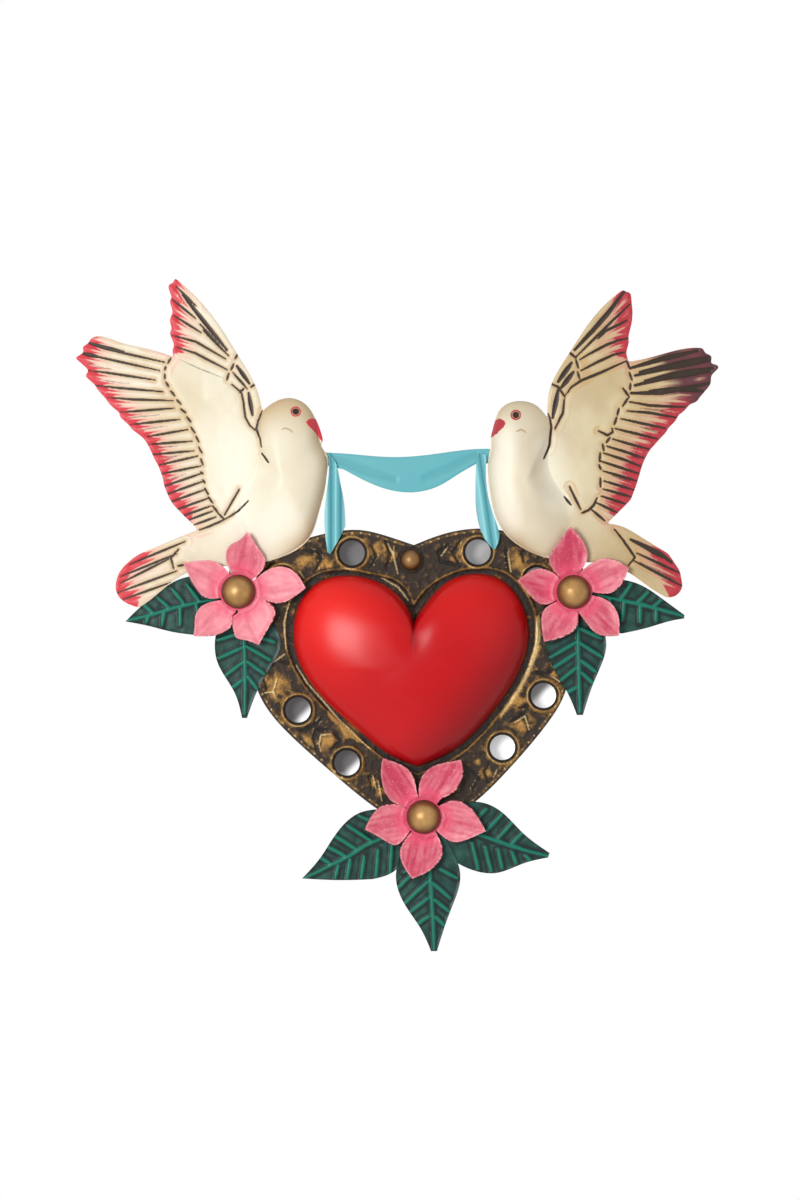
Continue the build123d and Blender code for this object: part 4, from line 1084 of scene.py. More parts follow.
def dove_sheet(dove, edge, centre, body):
    """A dove cut flat, with its outline and its rivet hole kept as edges. Points lie in rings
    over the body, closer together towards its edge, in fine nets over the eye and the cheek,
    and in staggered rows elsewhere."""
    rings = []
    for share in 1 - (np.arange(34) / 34) ** 1.4:
        step = 1 if share > 0.5 else 2 if share > 0.25 else 4
        rings.append(centre + (body[::step] - centre) * share)
    rings = [ring[inside(ring, edge) & (near_loop(ring, edge)[0] > 0.12)] for ring in rings]
    grid = honeycomb(edge, FINE)
    grid = grid[(share_of(grid, centre, body) > 1.012)
                & (to_place(grid, BOSS_CENTRES[dove["post"]]) > PIN_CLEAR)]
    for middle, reach in ((place(dove["eye"]), 3.2), (place(dove["cheek"][0]).mean(0), 4.6)):
        rings = [ring[np.hypot(*(ring - middle).T) > reach] for ring in rings]
        grid = grid[np.hypot(*(grid - middle).T) > reach]
        rings.append(honeycomb(circle(middle, reach), 0.4, 0.3))
    rivet = pin_hole(dove["post"])
    return cut_sheet([edge, rivet], [grid] + rings + [centre[None]],
                     lambda middles: inside(middles, edge) & ~inside(middles, rivet))


def make_dove(name, dove, material, seed):
    """A dove is a cut sheet whose body is pushed out as a dome: its height follows how far a
    point lies from the body's middle to its edge, and rises more slowly on the wing's side.
    Wings and tail swell between their chased lines, so that each line lies in a groove. The
    beak and the eye stand out a little, and under the dome the back follows the front.

    The masks follow the same lines. Ink lies on the lines and the pupil, wash beside them and
    along the sheet's edge, red, blush and plum spread from the tips in streaks, painted shade in
    the wash's tan darkens the body towards its edge away from the wing, and painted light lies
    round lines of its own."""
    edge = outline(dove["runs"])
    for _ in range(7):
        edge = (np.roll(edge, 1, 0) + 2 * edge + np.roll(edge, -1, 0)) / 4
    centre = place(dove["centre"])
    body = centre + (through_ring(place(dove["body"]), 320) - centre) * 1.025
    flat, triangles = dove_sheet(dove, edge, centre, body)

    gap, _ = near_loop(flat, edge)
    share = share_of(flat, centre, body)
    table = through(DOVE_DOME, 200)[::-1]
    away = flat - centre
    wing_side = smooth((away @ np.array(dove["wing_side"]) / (np.hypot(*away.T) + 2) + 0.15) / 0.95)
    rise = (np.interp(np.clip(share, 0, 1), table[:, 0], table[:, 1]) * (1 - wing_side)
            + smooth(1 - share) * wing_side)
    brush = dove["brush"]
    strong, to_strong = drawn(flat, dove["strong"], 1.05 * brush)
    lines, to_lines = drawn(flat, dove["feathers"], 0.64 * brush)
    faint, _ = drawn(flat, dove["faint"], 0.45 * brush)
    fine, to_fine = drawn(flat, dove["fine"], 0.58 * brush, 0.35)
    nearest = np.minimum(np.minimum(to_strong, to_lines), to_fine)
    puffed = FEATHER_RISE * (1 - hump(nearest / 1.7)) * smooth(gap / 1.6)
    dents = 0.22 * uneven(flat, 9, seed) + 0.08 * uneven(flat, 3.5, seed + 1)
    wing = DOVE_FRONT - 0.12 + puffed + dents * smooth(gap / 2)
    dome = DOVE_FRONT - 0.3 + (DOVE_RISE + 0.3) * rise - 0.15 * (1 - uneven(flat, 12, seed + 2)) * rise
    front = np.where(share < 1, np.maximum(dome, wing * (1 - rise) + dome * rise), wing)
    eye = to_place(flat, dove["eye"])
    beak = place(dove["beak"])
    in_beak = inside(flat, beak)
    to_beak, _ = near_loop(flat, beak)
    front = front + np.where(in_beak, 0.35 * smooth(to_beak / 0.9), 0) + 0.3 * hump(eye / 1.6)
    cheek, _ = drawn(flat, dove["cheek"], 0.5)
    groove = np.maximum.reduce([strong, lines, fine])
    front = front - 0.18 * groove * (share >= 1) - 0.15 * cheek
    back = np.maximum(DOVE, np.where(share < 1, front - DOVE_WALL, DOVE))
    front = np.maximum(front, back + 0.3)

    to_tip = np.full(len(flat), 99.0)
    for tip in dove["tips"]:
        reach, along = near_line(flat, place(tip))
        to_tip = np.minimum(to_tip, reach + 8 * smooth((along - 0.94) / 0.06))
    streak = 0.5 + 0.5 * uneven(np.stack([nearest, 0.12 * to_tip], 1), 0.9, seed + 3)
    streak = 0.5 + (streak - 0.5) * smooth((5 - nearest) / 2)
    red = smooth(1.3 - to_tip / (3 + 9 * streak)) * (0.62 + 0.38 * streak)
    blush = 0.95 * smooth(1.1 - to_tip / (9 + 16 * streak)) * smooth((7 - nearest) / 4)
    plum = np.zeros(len(flat))
    for tip in dove["plum"]:
        plum = np.maximum(plum, smooth(1.2 - near_line(flat, place(tip))[0] / (6 + 10 * streak)))
    # Painted light round the dove's own lines
    painted_light = np.zeros(len(flat))
    for line, reach, weight in dove["painted_light"]:
        painted_light = np.maximum(painted_light, weight * hump(near_line(flat, place(line))[0] / reach))
    on_beak = np.where(in_beak, smooth(to_beak / 0.3 + 0.4), 0)
    ring = hump((eye - 2.2) / 0.6)
    pupil = smooth((2.05 - eye) / 0.6)
    ink = np.maximum.reduce([strong, 0.9 * lines, 0.92 * fine, 0.45 * faint, 0.3 * cheek,
                             0.72 * pupil])
    wash = np.maximum(0.7 * hump(nearest / 1.5), 0.5 * smooth(1 - gap / 0.9)) * (share >= 1)
    # Painted shade in the wash's tan towards the body's edge, away from the wing
    painted_rim_shade = dove["painted_rim_shade"] * smooth((share - 0.66) / 0.4) * (1 - wing_side) * (share < 1)
    dry_brush = 0.55 * smooth((streak - 0.55) / 0.3) * smooth((4.5 - nearest) / 2) * (share >= 1)
    # The wash mask holds the glaze beside the lines and the painted rim shade
    masks = {"red": np.maximum.reduce([red, 1.3 * on_beak, 0.8 * ring * (1 - pupil)]),
             "blush": np.maximum(blush, 0.2 * ring), "ink": ink, "plum": plum,
             "wash": np.maximum.reduce([wash, painted_rim_shade, 0.6 * cheek, dry_brush]),
             "painted_light": painted_light * (1 - painted_rim_shade)}
    make_sheet(name, flat, triangles, front, back, material, [name.replace("painted_", "")],
               masks, crease=50)


# Ribbon

SWAG = [
    ("curve", [(316, 452), (350, 454), (390, 457), (433, 454.2), (477, 449), (498, 449)]),
    ("line", [(498, 463), (476, 464)]),
    ("curve", [(459.4, 473.5), (439.5, 485.6), (411, 492.4), (380, 487), (344, 469.6)]),
    ("line", [(316, 463), (316, 452)]),
]
LEFT_TAIL = [
    ("line", [(328.5, 453)]),
    ("curve", [(328.9, 470), (327.6, 485), (325.2, 504), (324.8, 530), (327.5, 552)]),
    ("line", [(330.3, 554.2)]),
    ("curve", [(338, 541), (345.6, 526)]),
    ("curve", [(343.6, 499), (340, 481), (335.6, 462.6), (331, 455)]),
    ("line", [(328.5, 453)]),
]
RIGHT_TAIL = [
    ("curve", [(476, 465), (475.4, 495), (478.6, 523.5), (489.5, 545.3), (493.3, 549)]),
    ("line", [(495.3, 549)]),
    ("curve", [(499.3, 537.6), (496.5, 523.5), (490.4, 505.5), (486.5, 485),
               (485.9, 464.5), (486.5, 455)]),
    ("line", [(479, 453), (476, 465)]),
]
LEFT_FOLDS = [(318, 0), (327.5, 1), (331.5, 0), (336, 1), (341, 0), (352, 1)]
RIGHT_FOLDS = [(468, 0), (476, 1), (481, 0), (485.5, 1), (490, 0), (500, 1)]
SWAG_FOLDS = [[(330, 457), (360, 468), (395, 479)], [(476, 455), (450, 468), (425, 478)]]


def make_swag(material):
    """The swag is a flat sheet that sinks a little along its soft folds and at its edge."""
    edge = outline(SWAG)
    flat, triangles = cut_sheet([edge], [honeycomb(edge, 0.8)], lambda m: inside(m, edge))
    gap, _ = near_loop(flat, edge)
    fold, _ = drawn(flat, SWAG_FOLDS, 2.2, 0.3)
    front = DOVE - 0.25 * fold - 0.12 * smooth(1 - gap / 1.0)
    # The fold mask is painted shade along the soft folds and at the edge
    make_sheet("ribbon_band", flat, triangles, front, SWAG_BACK, material, ["ribbon_swag"],
               {"fold": 0.22 * fold + 0.25 * smooth(1 - gap / 0.8)})


def make_tail(name, runs, folds, axis, material):
    """A tail is a sheet folded in zigzags across its axis: the height rises and falls in
    straight slopes from fold to fold, softened at each fold."""
    edge = outline(runs)
    top, bottom = place(axis[0]), place(axis[1])
    length = math.dist(top, bottom)
    way = (bottom - top) / length
    across_way = np.array([-way[1], way[0]])
    fold_x, level = np.array([(place((x, 0))[0] - top[0], level) for x, level in folds]).T
    x, along = np.meshgrid(np.arange(fold_x[0], fold_x[-1], 0.45),
                           np.arange(-6, length + 6, 0.8), indexing="ij")
    grid = (top + along[..., None] * way + x[..., None] * across_way).reshape(-1, 2)
    grid = grid[inside(grid, edge)]
    grid = grid[near_loop(grid, edge)[0] > 0.3]
    flat, triangles = cut_sheet([edge], [grid], lambda m: inside(m, edge))
    across = (flat - top) @ across_way
    beside = np.interp(across - 0.3, fold_x, level) + np.interp(across + 0.3, fold_x, level)
    rise = 0.5 * np.interp(across, fold_x, level) + 0.25 * beside
    back = DOVE + TAIL_FOLD * rise
    # Painted shade low in the folds and painted highlights on their ridges
    masks = {"fold": smooth(1 - rise / 0.5), "painted_ridge_highlight": 0.75 * smooth((rise - 0.62) / 0.3)}
    make_sheet("folded_" + name, flat, triangles, back + SHEET, back, material, [name],
               masks)


# Flowers and bosses

PETALS = {
    "left": [
        [(232, 576), (231, 571), (227, 562), (226.5, 553), (231, 545), (240, 540), (247, 532),
         (251, 536), (256.5, 545), (263.5, 555), (265.5, 561), (262, 571), (256, 577)],
        [(231, 575), (216, 562), (200, 560.7), (184, 563), (193.5, 584), (205.6, 597.4), (222, 598)],
        [(257, 578), (275.6, 567), (290.4, 569), (306, 588), (292, 598.5), (281, 603.2), (262, 599)],
        [(238, 613), (233, 617), (234, 631), (236, 637), (245, 640), (259, 645),
         (264, 636), (267, 631), (273, 621), (275.5, 611), (262, 598)],
        [(236, 612), (233, 617), (232, 625), (225, 632), (217, 635), (194, 636),
         (195, 628), (196, 615), (201, 607), (211, 602), (222, 600)],
    ],
    "right": [
        [(557, 575), (548.8, 561), (556, 545), (570, 526.5), (584.7, 545.6), (586.7, 559.7), (578, 573)],
        [(579, 573), (592.8, 562.4), (605, 558.4), (628, 568), (622.4, 582), (611, 592.7), (592, 592)],
        [(555, 574), (539.6, 568.7), (528, 572.5), (517.4, 580.6), (531, 596.7), (541, 604.5), (557, 600)],
        [(555, 602), (543, 611), (541.2, 624), (543.6, 641.6), (563.8, 636.4), (575.5, 628), (578, 610)],
        [(577, 610), (586.7, 624), (597, 634), (618.4, 635.5), (617, 613), (608, 601), (590, 595)],
    ],
    "bottom": [
        [(407, 808), (395, 803), (388, 797), (383, 786), (381.5, 764), (383, 757.5),
         (393, 761), (407, 768), (414, 778), (417, 792), (419, 798)],
        [(419, 798), (419, 785), (424, 773), (435, 765), (452, 761), (461, 759),
         (463, 773), (460, 783), (452, 793), (441, 799), (436, 805)],
        [(406, 808), (393.8, 803.7), (381, 806), (364.8, 829), (383, 839), (395, 844.7), (409, 832)],
        [(440, 805), (455, 799.8), (467, 804.5), (485.6, 830.5), (468, 838.5), (454, 841.7), (438, 832)],
        [(410, 833), (400.2, 850.4), (401.5, 861), (412, 878), (433.6, 866.8), (442.3, 853), (436, 832)],
    ],
}

# How pale each petal is painted, in the same order: partly the paint's own tone and partly
# painted light and shade for the way each petal faces
PETAL_TONES = {"left": [0.32, 0.6, 0.6, 0.58, 0.62], "right": [0.08, 0.42, 0.26, 0.34, 0.34],
               "bottom": [0.1, 0.14, 0.32, 0.36, 0.12]}


def petal_loop(points, middle):
    """A petal's outline: a smooth line up each side to the tip, and straight on from both
    sides towards the flower's middle."""
    half = len(points) // 2
    last, first = (middle + (points[k] - middle) * 0.4 for k in (-1, 0))
    return np.vstack([through(points[:half + 1], 34)[:-1], through(points[half:], 34),
                      evenly([points[-1], last], FINE)[1:], evenly([first, points[0]], FINE)[:-1]])


def make_flower(name, tones, material, seed):
    """A flower is five petals in one sheet, flat under the boss and dished outside it: the
    height grows with the square of the way past the seat. Each petal is a shallow trough with
    a raised rim, and leans a little to one side. A ring round the boss stands out too."""
    middle = place(BOSS_CENTRES[name])
    seat = circle(middle, SEAT)
    rivet = pin_hole(name)
    net = honeycomb(seat, 1.6)
    scattered = [net[to_place(net, BOSS_CENTRES[name]) > 2.2]]
    outlines = [place(petal) for petal in PETALS[name]]
    loops = [petal_loop(points, middle) for points in outlines]
    for loop in loops:
        grid = honeycomb(loop, FINE, 0.5)
        scattered.append(grid[to_place(grid, BOSS_CENTRES[name]) > SEAT + 0.4])

    def keep(middles):
        kept = inside(middles, seat)
        for loop in loops:
            kept |= inside(middles, loop)
        return kept & ~inside(middles, rivet)

    flat, triangles = cut_sheet([seat, rivet] + loops, scattered, keep)
    reach = np.hypot(*(flat - middle).T)
    past = np.clip((reach - SEAT) / (PETAL_REACH - SEAT), 0, 1.2)
    outside = smooth((reach - 9.0) / 5)
    front = FLOWER_FRONT + PETAL_DISH_FRONT * past * past
    rim, tone = np.zeros(len(flat)), np.full(len(flat), tones[0])
    chance = np.random.default_rng(seed)
    for points, loop, shade in zip(outlines, loops, tones):
        mine = inside(flat, loop)
        gap, _ = near_loop(flat, loop)
        tip = points[len(points) // 2]
        along = (tip - middle) / math.dist(tip, middle)
        side = (flat - middle) @ np.array([-along[1], along[0]])
        spine = hump(side / 1.5)
        lean = chance.uniform(-0.11, 0.11)
        trough = 0.75 * hump(gap / 1.3) - 0.35 * spine + lean * side - 0.15
        front = np.where(mine, front + outside * trough, front)
        rim = np.where(mine, np.maximum(rim, hump(gap / 1.0) * outside), rim)
        # The tone is partly painted light and shade for the way the petal faces
        lit = shade + 0.2 * uneven(np.stack([side, 0.15 * reach], 1), 1.3, seed + 9)
        lit += 0.14 * hump((gap - 2.2) / 1.5)
        tone = np.where(mine, lit - 0.08 * spine, tone)
    front = front + 0.1 * outside * uneven(flat, 2.5, seed) + 0.4 * hump((reach - 10.4) / 0.7)
    back = np.minimum(FLOWER + PETAL_DISH_BACK * past * past, front - 0.45)
    back = np.where(reach < SEAT, FLOWER, np.maximum(back, FLOWER))
    front = np.maximum(front, back + 0.4)
    deep = smooth(1 - (reach - 9) / 9) * (1 - 0.7 * hump((reach - 10.4) / 0.8))
    make_sheet("petals_" + name, flat, triangles, front, back, material, ["flower_" + name],
               {"deep": deep, "rim": rim, "tone": tone}, crease=60)


def make_boss(name, material, seed):
    """A boss is a hollow dome: an outer cap and, turned back under it, a smaller inner one."""
    outer = cap(BOSS_RADIUS, FLOWER_FRONT, BOSS_RISE, 26)
    inner = cap(BOSS_RADIUS - BOSS_WALL, FLOWER_FRONT, BOSS_RISE - BOSS_WALL, 14)[::-1]
    turned_piece("dome_" + name, np.vstack([outer, inner]), BOSS_CENTRES[name], material,
                 ["boss_" + name], 0.06, seed)


# Leaves

LEAVES = {
    "left_leaf_outer": {
        "level": PLATE + SHEET, "post": "left",
        "runs": [("curve", [(125.5, 621.5), (137, 610), (155, 595), (180, 579), (210, 575)]),
                 ("line", [("tab", BOSS_CENTRES["left"])]),
                 ("curve", [(222, 618), (208, 630), (193, 634.8)]),
                 ("curve", [(172, 631.8), (150, 626.3), (125.5, 621.5)])],
        "midrib": [(126, 621), (150, 615), (174.6, 607.5), (200, 602), (217, 599)],
        "veins": [[(200, 602), (187, 585)], [(185, 605), (172, 589)], [(170, 609), (158, 598)],
                  [(154, 614), (145, 606)], [(196, 603), (199, 621)], [(180, 606), (180, 625)],
                  [(164, 611), (162, 625)], [(149, 615), (146, 622)]],
    },
    "left_leaf_lower": {
        "level": PLATE, "post": "left",
        "runs": [("curve", [(242, 718), (235, 693.7), (217, 661), (215, 640), (221, 615)]),
                 ("line", [("tab", BOSS_CENTRES["left"])]),
                 ("curve", [(270, 618), (280.5, 645), (270, 668), (256, 693.7), (247, 718)]),
                 ("line", [(242, 718)])],
        "midrib": [(244.5, 714), (245, 680), (244, 640), (243, 620)],
        "veins": [[(246, 646), (270, 660)], [(248, 662), (264, 674)], [(248, 677), (257, 689)],
                  [(246, 632), (274, 642)], [(243, 647), (219, 658)], [(243, 662), (226, 675)],
                  [(242, 680), (233, 687)], [(243, 632), (218, 640)]],
    },
    "right_leaf_outer": {
        "level": PLATE + SHEET, "post": "right",
        "runs": [("curve", [(684.5, 615), (664, 600), (636, 583), (606, 578)]),
                 ("line", [("tab", BOSS_CENTRES["right"])]),
                 ("curve", [(588, 616), (602, 629), (622, 633.5)]),
                 ("curve", [(650, 627), (671.5, 620.7), (684, 618.5)]),
                 ("line", [(684.5, 615)])],
        "midrib": [(683, 616), (660.8, 609.5), (639.2, 604), (619.7, 600), (601.5, 596)],
        "veins": [[(620, 600), (631, 584)], [(636, 604), (648, 592)], [(652, 608), (661, 600)],
                  [(624, 602), (622, 620)], [(640, 606), (640, 622)], [(656, 610), (656, 621)],
                  [(609, 598), (608, 615)]],
    },
    "right_leaf_lower": {
        "level": PLATE, "post": "right",
        "runs": [("curve", [(577, 715), (568, 693.7), (550, 661), (545.5, 640), (553, 617)]),
                 ("line", [("tab", BOSS_CENTRES["right"])]),
                 ("curve", [(598, 617), (606.3, 643), (594.8, 680), (583, 715)]),
                 ("line", [(577, 715)])],
        "midrib": [(580, 712), (579, 680), (578, 635), (577, 615)],
        "veins": [[(576, 642), (551, 657)], [(576, 653), (553, 668)], [(576, 668), (560, 681)],
                  [(577, 687), (566, 693)], [(580, 643), (602, 657)], [(582, 661), (596, 672)],
                  [(582, 673), (594, 684)], [(579, 628), (601, 638)], [(575, 628), (551, 640)]],
    },
    "bottom_leaf_left": {
        "level": PLATE, "post": "bottom",
        "runs": [("curve", [(302, 878.5), (318.6, 860), (340, 828.7), (360, 812.7), (383, 809)]),
                 ("line", [("tab", BOSS_CENTRES["bottom"])]),
                 ("curve", [(407, 858), (390.4, 873.7), (372, 879.3)]),
                 ("curve", [(340, 880.2), (302, 878.5)])],
        "midrib": [(303, 879), (330, 865.6), (350, 855.6), (364.4, 846), (380, 839), (400, 829)],
        "veins": [[(373, 842), (348, 826)], [(357, 850), (335, 836)], [(347, 857), (328, 847)],
                  [(331, 864), (319, 857)], [(376, 823), (359, 816)], [(392, 843), (390, 874)],
                  [(378, 850), (376, 876)], [(364, 857), (361, 878)], [(350, 860), (347, 878)],
                  [(338, 866), (335, 878)]],
    },
    "bottom_leaf_middle": {
        "level": DOVE, "post": "bottom",
        "runs": [("curve", [(431, 951), (421.5, 930), (403.4, 902), (395.9, 877), (403, 848)]),
                 ("line", [("tab", BOSS_CENTRES["bottom"])]),
                 ("curve", [(450, 846), (460.3, 875), (451.5, 908), (443, 931.7), (437, 951)]),
                 ("line", [(431, 951)])],
        "midrib": [(434, 949), (433, 920), (431, 890), (429, 862), (427, 842)],
        "veins": [[(428, 881), (404, 904)], [(428, 898), (410, 912)], [(410, 876), (398, 888)],
                  [(429, 916), (417, 924)], [(433, 883), (450, 898)], [(440, 869), (457, 878)],
                  [(435, 900), (450, 912)], [(436, 917), (445, 926)], [(427, 860), (404, 872)]],
    },
    "bottom_leaf_right": {
        "level": PLATE + SHEET, "post": "bottom",
        "runs": [("curve", [(549.6, 853), (523, 833), (498.6, 809.7), (481, 802.3), (460, 803)]),
                 ("line", [("tab", BOSS_CENTRES["bottom"])]),
                 ("curve", [(450, 858), (471, 869.5), (496, 873), (523.6, 863.4), (548, 857.5)]),
                 ("line", [(549.6, 853)])],
        "midrib": [(548, 856), (530.6, 851.8), (515, 847), (499.4, 841.7), (482, 835.7), (460, 828)],
        "veins": [[(472, 823), (486, 809)], [(486, 831), (502, 814)], [(498, 838), (512, 823)],
                  [(512, 843), (522, 833)], [(472, 843), (478, 869)], [(485, 847), (491, 871)],
                  [(498, 850), (502, 868)], [(512, 852), (516, 863)], [(526, 856), (530, 860)]],
    },
}


def leaf_sheet(leaf, edge):
    """A leaf cut flat, with its outline and its rivet hole kept as edges."""
    rivet = pin_hole(leaf["post"])
    grid = honeycomb(edge, FINE)
    grid = grid[to_place(grid, BOSS_CENTRES[leaf["post"]]) > PIN_CLEAR]
    return cut_sheet([edge, rivet], [grid], lambda m: inside(m, edge) & ~inside(m, rivet))


def make_leaf(name, leaf, material, seed):
    """A leaf is a cut sheet with a round midrib and veins standing out of it. Between them it
    sinks with the distance to the nearest of them, as chased tin does, and a small unevenness
    is added. All of it fades out under the flower, where the sheets lie flat."""
    edge = outline(leaf["runs"])
    flat, triangles = leaf_sheet(leaf, edge)
    gap, _ = near_loop(flat, edge)
    midrib, to_midrib = drawn(flat, [leaf["midrib"]], 0.9, 0.4)
    veins, to_veins = drawn(flat, leaf["veins"], 0.95, 0.25)
    nearest = np.minimum(to_midrib, to_veins)
    under_flower = smooth((to_place(flat, BOSS_CENTRES[leaf["post"]]) - 7) / 4)
    front = leaf["level"] + SHEET - 0.05 + under_flower * (
        MIDRIB_RISE * hump(to_midrib / 0.75) + VEIN_RISE * veins * (1 - midrib)
        - 0.3 * smooth(nearest / 1.6) * smooth(gap / 1.2) + 0.1 * uneven(flat, 3, seed))
    front = np.minimum(front, leaf["level"] + SHEET + MIDRIB_RISE)
    masks = {"rib": np.maximum(midrib, 0.9 * veins),
             "hollow": 0.95 * hump((nearest - 1.85) / 0.7) * (1 - midrib)
             + 0.5 * smooth(1 - gap / 0.7)}
    make_sheet("veined_" + name, flat, triangles, front, leaf["level"], material, [name],
               masks, crease=60)


# The stud and the bare metal

STUD_RADIUS = 5.3
STUD_RISE = 4.5
SHANK_RADIUS = 1.3
RIVET_RADIUS = 2.5
RIVET_HEIGHT = 0.8
DISH_RADIUS = 6.2


def make_stud(gold, patina):
    """The stud is a cap on a shank that ends in a rivet head behind the plate, and its dish is
    a flat disc with a rounded rim, both turned from profiles of reach and height."""
    under = PLATE + SHEET
    behind = PLATE_BACK - RIVET_HEIGHT
    head = cap(STUD_RADIUS, under, STUD_RISE, 16)
    shank = [(SHANK_RADIUS, under), (SHANK_RADIUS, PLATE_BACK), (RIVET_RADIUS, PLATE_BACK),
             (RIVET_RADIUS, behind), (0, behind)]
    turned_piece("stud_head", np.vstack([head, shank]), STUD, gold, ["top_stud"],
                 0.05, 31, 0.55)
    floor = under - 0.01
    dish = [(0, floor), (5.4, floor), (5.5, PLATE + 0.95), (5.7, PLATE + 1.0),
            (6.05, PLATE + 0.9), (DISH_RADIUS, PLATE + 0.5), (DISH_RADIUS, PLATE), (0, PLATE)]
    turned_piece("stud_dish", dish, STUD, patina, ["top_stud_cup"])


def dress_frame(nodes, tin, wire):
    """Bare tin and wire on the solids that keep their own shape."""
    finishes = dict.fromkeys(("side_band_left", "side_band_right", "hanger_strap", "flower_post_left",
                              "flower_post_right", "flower_post_bottom"), tin)
    finishes["hanger_ring"] = wire
    for name, finish in finishes.items():
        nodes[name].data.materials.clear()
        nodes[name].data.materials.append(finish)


# Floor, wall, lights and camera

# Sizes and places are in metres here, but the wall's height and the sensor in millimetres
FLOOR_HALF = 3.0
FLOOR_LEVEL = -0.75
FLOOR_GLOW = 0.6
WALL_GLOW = 0.45
WALL_HEIGHT = -0.5
# How light the wall is in each hole at its upper left and its lower right, and where it changes
HOLE_LIGHT = [(0.12, 0.14, 0), (0.38, 0.3, 0), (0.15, 0.4, 0), (0.3, 0.6, 0),
              (0.1, 1, 0.2), (0.1, 1, 0.2), (0.2, 1, -0.5), (0.8, 1, -0.8)]
# Each lamp's place and size in metres, and its power in watts
LAMPS = {"key": ((-0.64, -1.39, 0.12), 0.48, 14.5), "fill": ((1.1, -1.4, 0.1), 1.2, 1.8)}
LAMP_AIM = (0, 0, -0.04)
ROOM_LIGHT = 0.41
CAMERA_X, CAMERA_Z = -0.0065, -0.0145
CAMERA_DISTANCE = 2.4
DOVE_SHEET_Y = -0.011
PICTURE_HEIGHT = 0.6
SENSOR = 36


def shown_rays(tree):
    """1 on what the camera sees straight, through glass or mirrored, and 0 on all other light."""
    path = add(tree, "ShaderNodeLightPath")
    seen = add(tree, "ShaderNodeMath", {"operation": "MAXIMUM"},
               {0: path.outputs["Is Camera Ray"], 1: path.outputs["Is Transmission Ray"]})
    return add(tree, "ShaderNodeMath", {"operation": "MAXIMUM"},
               {0: seen.outputs[0], 1: path.outputs["Is Glossy Ray"]}).outputs[0]


def floor_paint():
    """Matt white floor paint, rolled: nearly even, and pale because it glows where it is shown."""
    made, tree, spot = start_material("pale_floor", {"Roughness": 0.9})
    speckle = add(tree, "ShaderNodeTexNoise", {"Scale": per_mm(40)}, {"Vector": spot})
    tone = coats(tree, "#F1F0EE", [("#EDECEA", speckle.outputs["Fac"])])
    glow = add(tree, "ShaderNodeMapRange", {"To Max": FLOOR_GLOW}, {"Value": shown_rays(tree)})
    tree.nodes["Principled BSDF"].inputs["Emission Color"].default_value = colour("#FFFFFF")
    return finish_material(made, {"Base Color": tone, "Emission Strength": glow.outputs[0]})


def wall_plaster():
    """White plaster in the ornament's shadow: its painted light goes from dusk to white and
    glows a little. It is clear from behind, and to every ray but the camera's own."""
    made, tree, _ = start_material("white_plaster",
                                   {"Roughness": 0.9, "Emission Strength": WALL_GLOW})
    tone = coats(tree, "#3F373B", [("#FFFFFF", "lit")])
    clear = add(tree, "ShaderNodeBsdfTransparent")
    seen = add(tree, "ShaderNodeLightPath")
    turned = add(tree, "ShaderNodeNewGeometry")
    front = add(tree, "ShaderNodeMath", {"operation": "SUBTRACT", "use_clamp": True},
                {0: seen.outputs["Is Camera Ray"], 1: turned.outputs["Backfacing"]})
    blend = add(tree, "ShaderNodeMixShader", {},
                {0: front.outputs[0], 1: clear.outputs[0],
                 2: tree.nodes["Principled BSDF"].outputs[0]})
    tree.links.new(blend.outputs[0], tree.nodes["Material Output"].inputs["Surface"])
    return finish_material(made, {"Base Color": tone, "Emission Color": tone})


def make_stage():
    """A pale floor well below the ornament, and the bit of wall behind the plate that its holes
    show. The wall is seen from the front only, so that the back of the ornament stays in view.
    Behind each hole its light goes from one tone to another across the hole, from the upper
    left to the lower right."""
    mesh = bpy.data.meshes.new("floor")
    half, low = FLOOR_HALF, FLOOR_LEVEL
    mesh.from_pydata([(-half, -half, low), (half, -half, low), (half, half, low), (-half, half, low)],
                     [], [(0, 1, 2, 3)])
    mesh.materials.append(floor_paint())
    floor = put_out("floor", mesh)

    middle = place(HEART_CENTRE)
    rim = middle + (plate_edge(60, 60) - middle) * 0.97
    flat, triangles = cut_sheet([rim], [honeycomb(rim, 1.4)], lambda m: inside(m, rim))
    lit = np.zeros(len(flat))
    for px, (dark, light, start) in zip(RING_HOLES, HOLE_LIGHT):
        away = (flat - place(px)) / HOLE_RADIUS
        shade = dark + (light - dark) * smooth((away @ np.array([0.7, -0.7]) - start) / 0.7)
        lit = np.where(np.hypot(*away.T) < 1.6, shade, lit)
    mesh = bpy.data.meshes.new("wall_patch")
    mesh.from_pydata(in_frame(flat, WALL_HEIGHT).tolist(), [], triangles.tolist())
    mesh.attributes.new("lit", "FLOAT", "POINT").data.foreach_set("value", lit.astype(np.float32))
    mesh.materials.append(wall_plaster())
    wall = put_out("wall_patch", mesh)


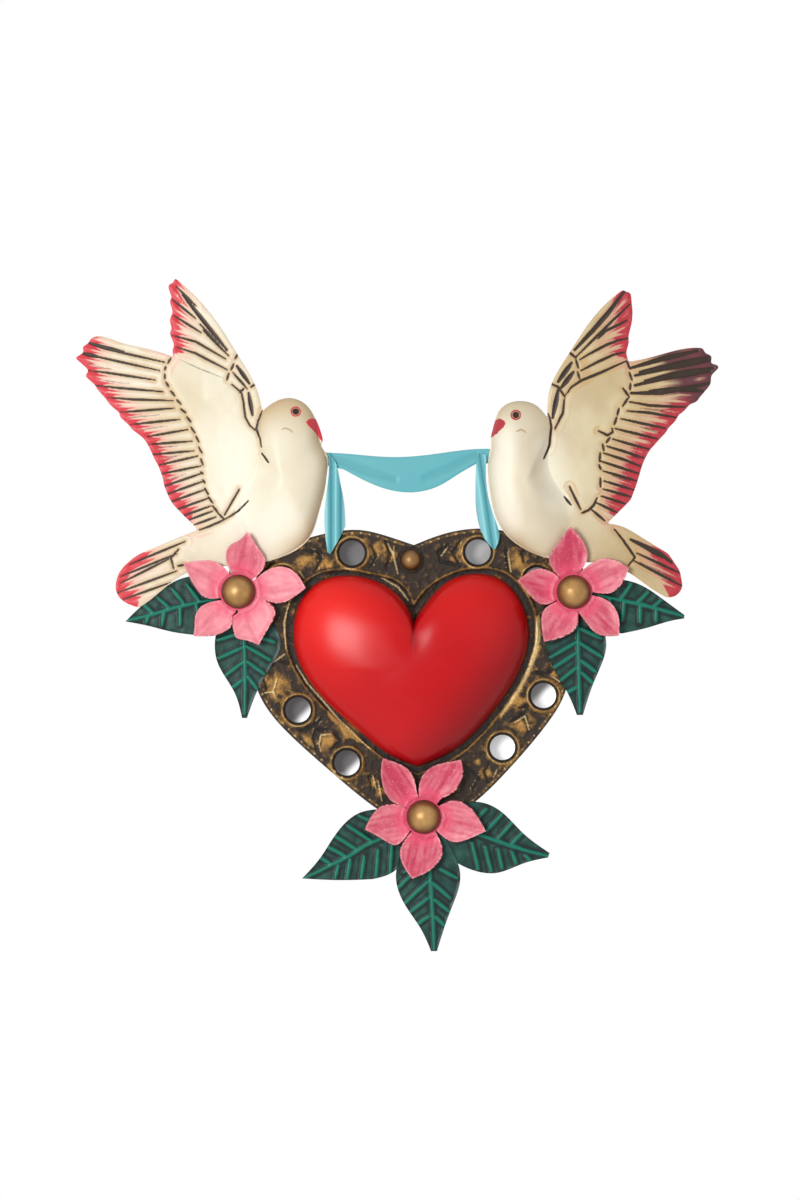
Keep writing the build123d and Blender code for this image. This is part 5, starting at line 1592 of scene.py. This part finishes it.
def light_and_camera():
    """A world that is white where it is seen or mirrored and weaker as light, a soft key in
    front on the left, only a little above the ornament, and a wide weak fill on the right. The
    camera looks square at the wall, and the long side of its picture takes in PICTURE_HEIGHT
    at the doves' sheet."""
    world = bpy.data.worlds.new("white_room")
    world.use_nodes = True
    bpy.context.scene.world = world
    tree = world.node_tree
    level = add(tree, "ShaderNodeMapRange", {"To Min": ROOM_LIGHT, "To Max": 1.0},
                {"Value": shown_rays(tree)})
    backdrop = tree.nodes["Background"]
    backdrop.inputs["Color"].default_value = (1, 1, 1, 1)
    tree.links.new(level.outputs[0], backdrop.inputs["Strength"])
    for name, (spot, size, power) in LAMPS.items():
        lamp = bpy.data.lights.new(name, "AREA")
        lamp.size = size
        lamp.energy = power
        holder = put_out(name, lamp)
        holder.location = spot
        holder.rotation_euler = (Vector(LAMP_AIM) - Vector(spot)).to_track_quat("-Z", "Y").to_euler()
    lens = bpy.data.cameras.new("camera")
    lens.sensor_width = SENSOR
    lens.lens = SENSOR * CAMERA_DISTANCE / PICTURE_HEIGHT
    lens.clip_start = 0.05
    camera = put_out("camera", lens)
    camera.location = (CAMERA_X, DOVE_SHEET_Y - CAMERA_DISTANCE, CAMERA_Z)
    camera.rotation_euler = (math.pi / 2, 0, 0)
    bpy.context.scene.camera = camera
    bpy.context.scene.view_settings.view_transform = "Standard"


gold = gold_paint()
patina = rubbed_patina()
make_plate(patina)
make_heart(red_enamel())
make_stud(gold, patina)
make_dove("painted_left_dove", LEFT_DOVE,
          cream_enamel("cream_enamel_left", "#F0E9D5", "#E2D4B4", "#D43A45", "#F2B7A8"), 11)
make_dove("painted_right_dove", RIGHT_DOVE,
          cream_enamel("cream_enamel_right", "#D9C9A2", "#C2AB7F", "#B8323F", "#D39A86"), 21)
blue = ribbon_enamel()
make_swag(blue)
make_tail("ribbon_tail_left", LEFT_TAIL, LEFT_FOLDS, [(330, 460), (330, 545)], blue)
make_tail("ribbon_tail_right", RIGHT_TAIL, RIGHT_FOLDS, [(481, 460), (493, 545)], blue)
pink = petal_enamel()
green = leaf_enamel()
for number, (flower, tones) in enumerate(PETAL_TONES.items()):
    make_flower(flower, tones, pink, 41 + number)
    make_boss(flower, gold, 51 + number)
for number, (name, leaf) in enumerate(LEAVES.items()):
    make_leaf(name, leaf, green, 61 + number)
dress_frame(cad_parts, bare_tin(), drawn_wire())
make_stage()
light_and_camera()
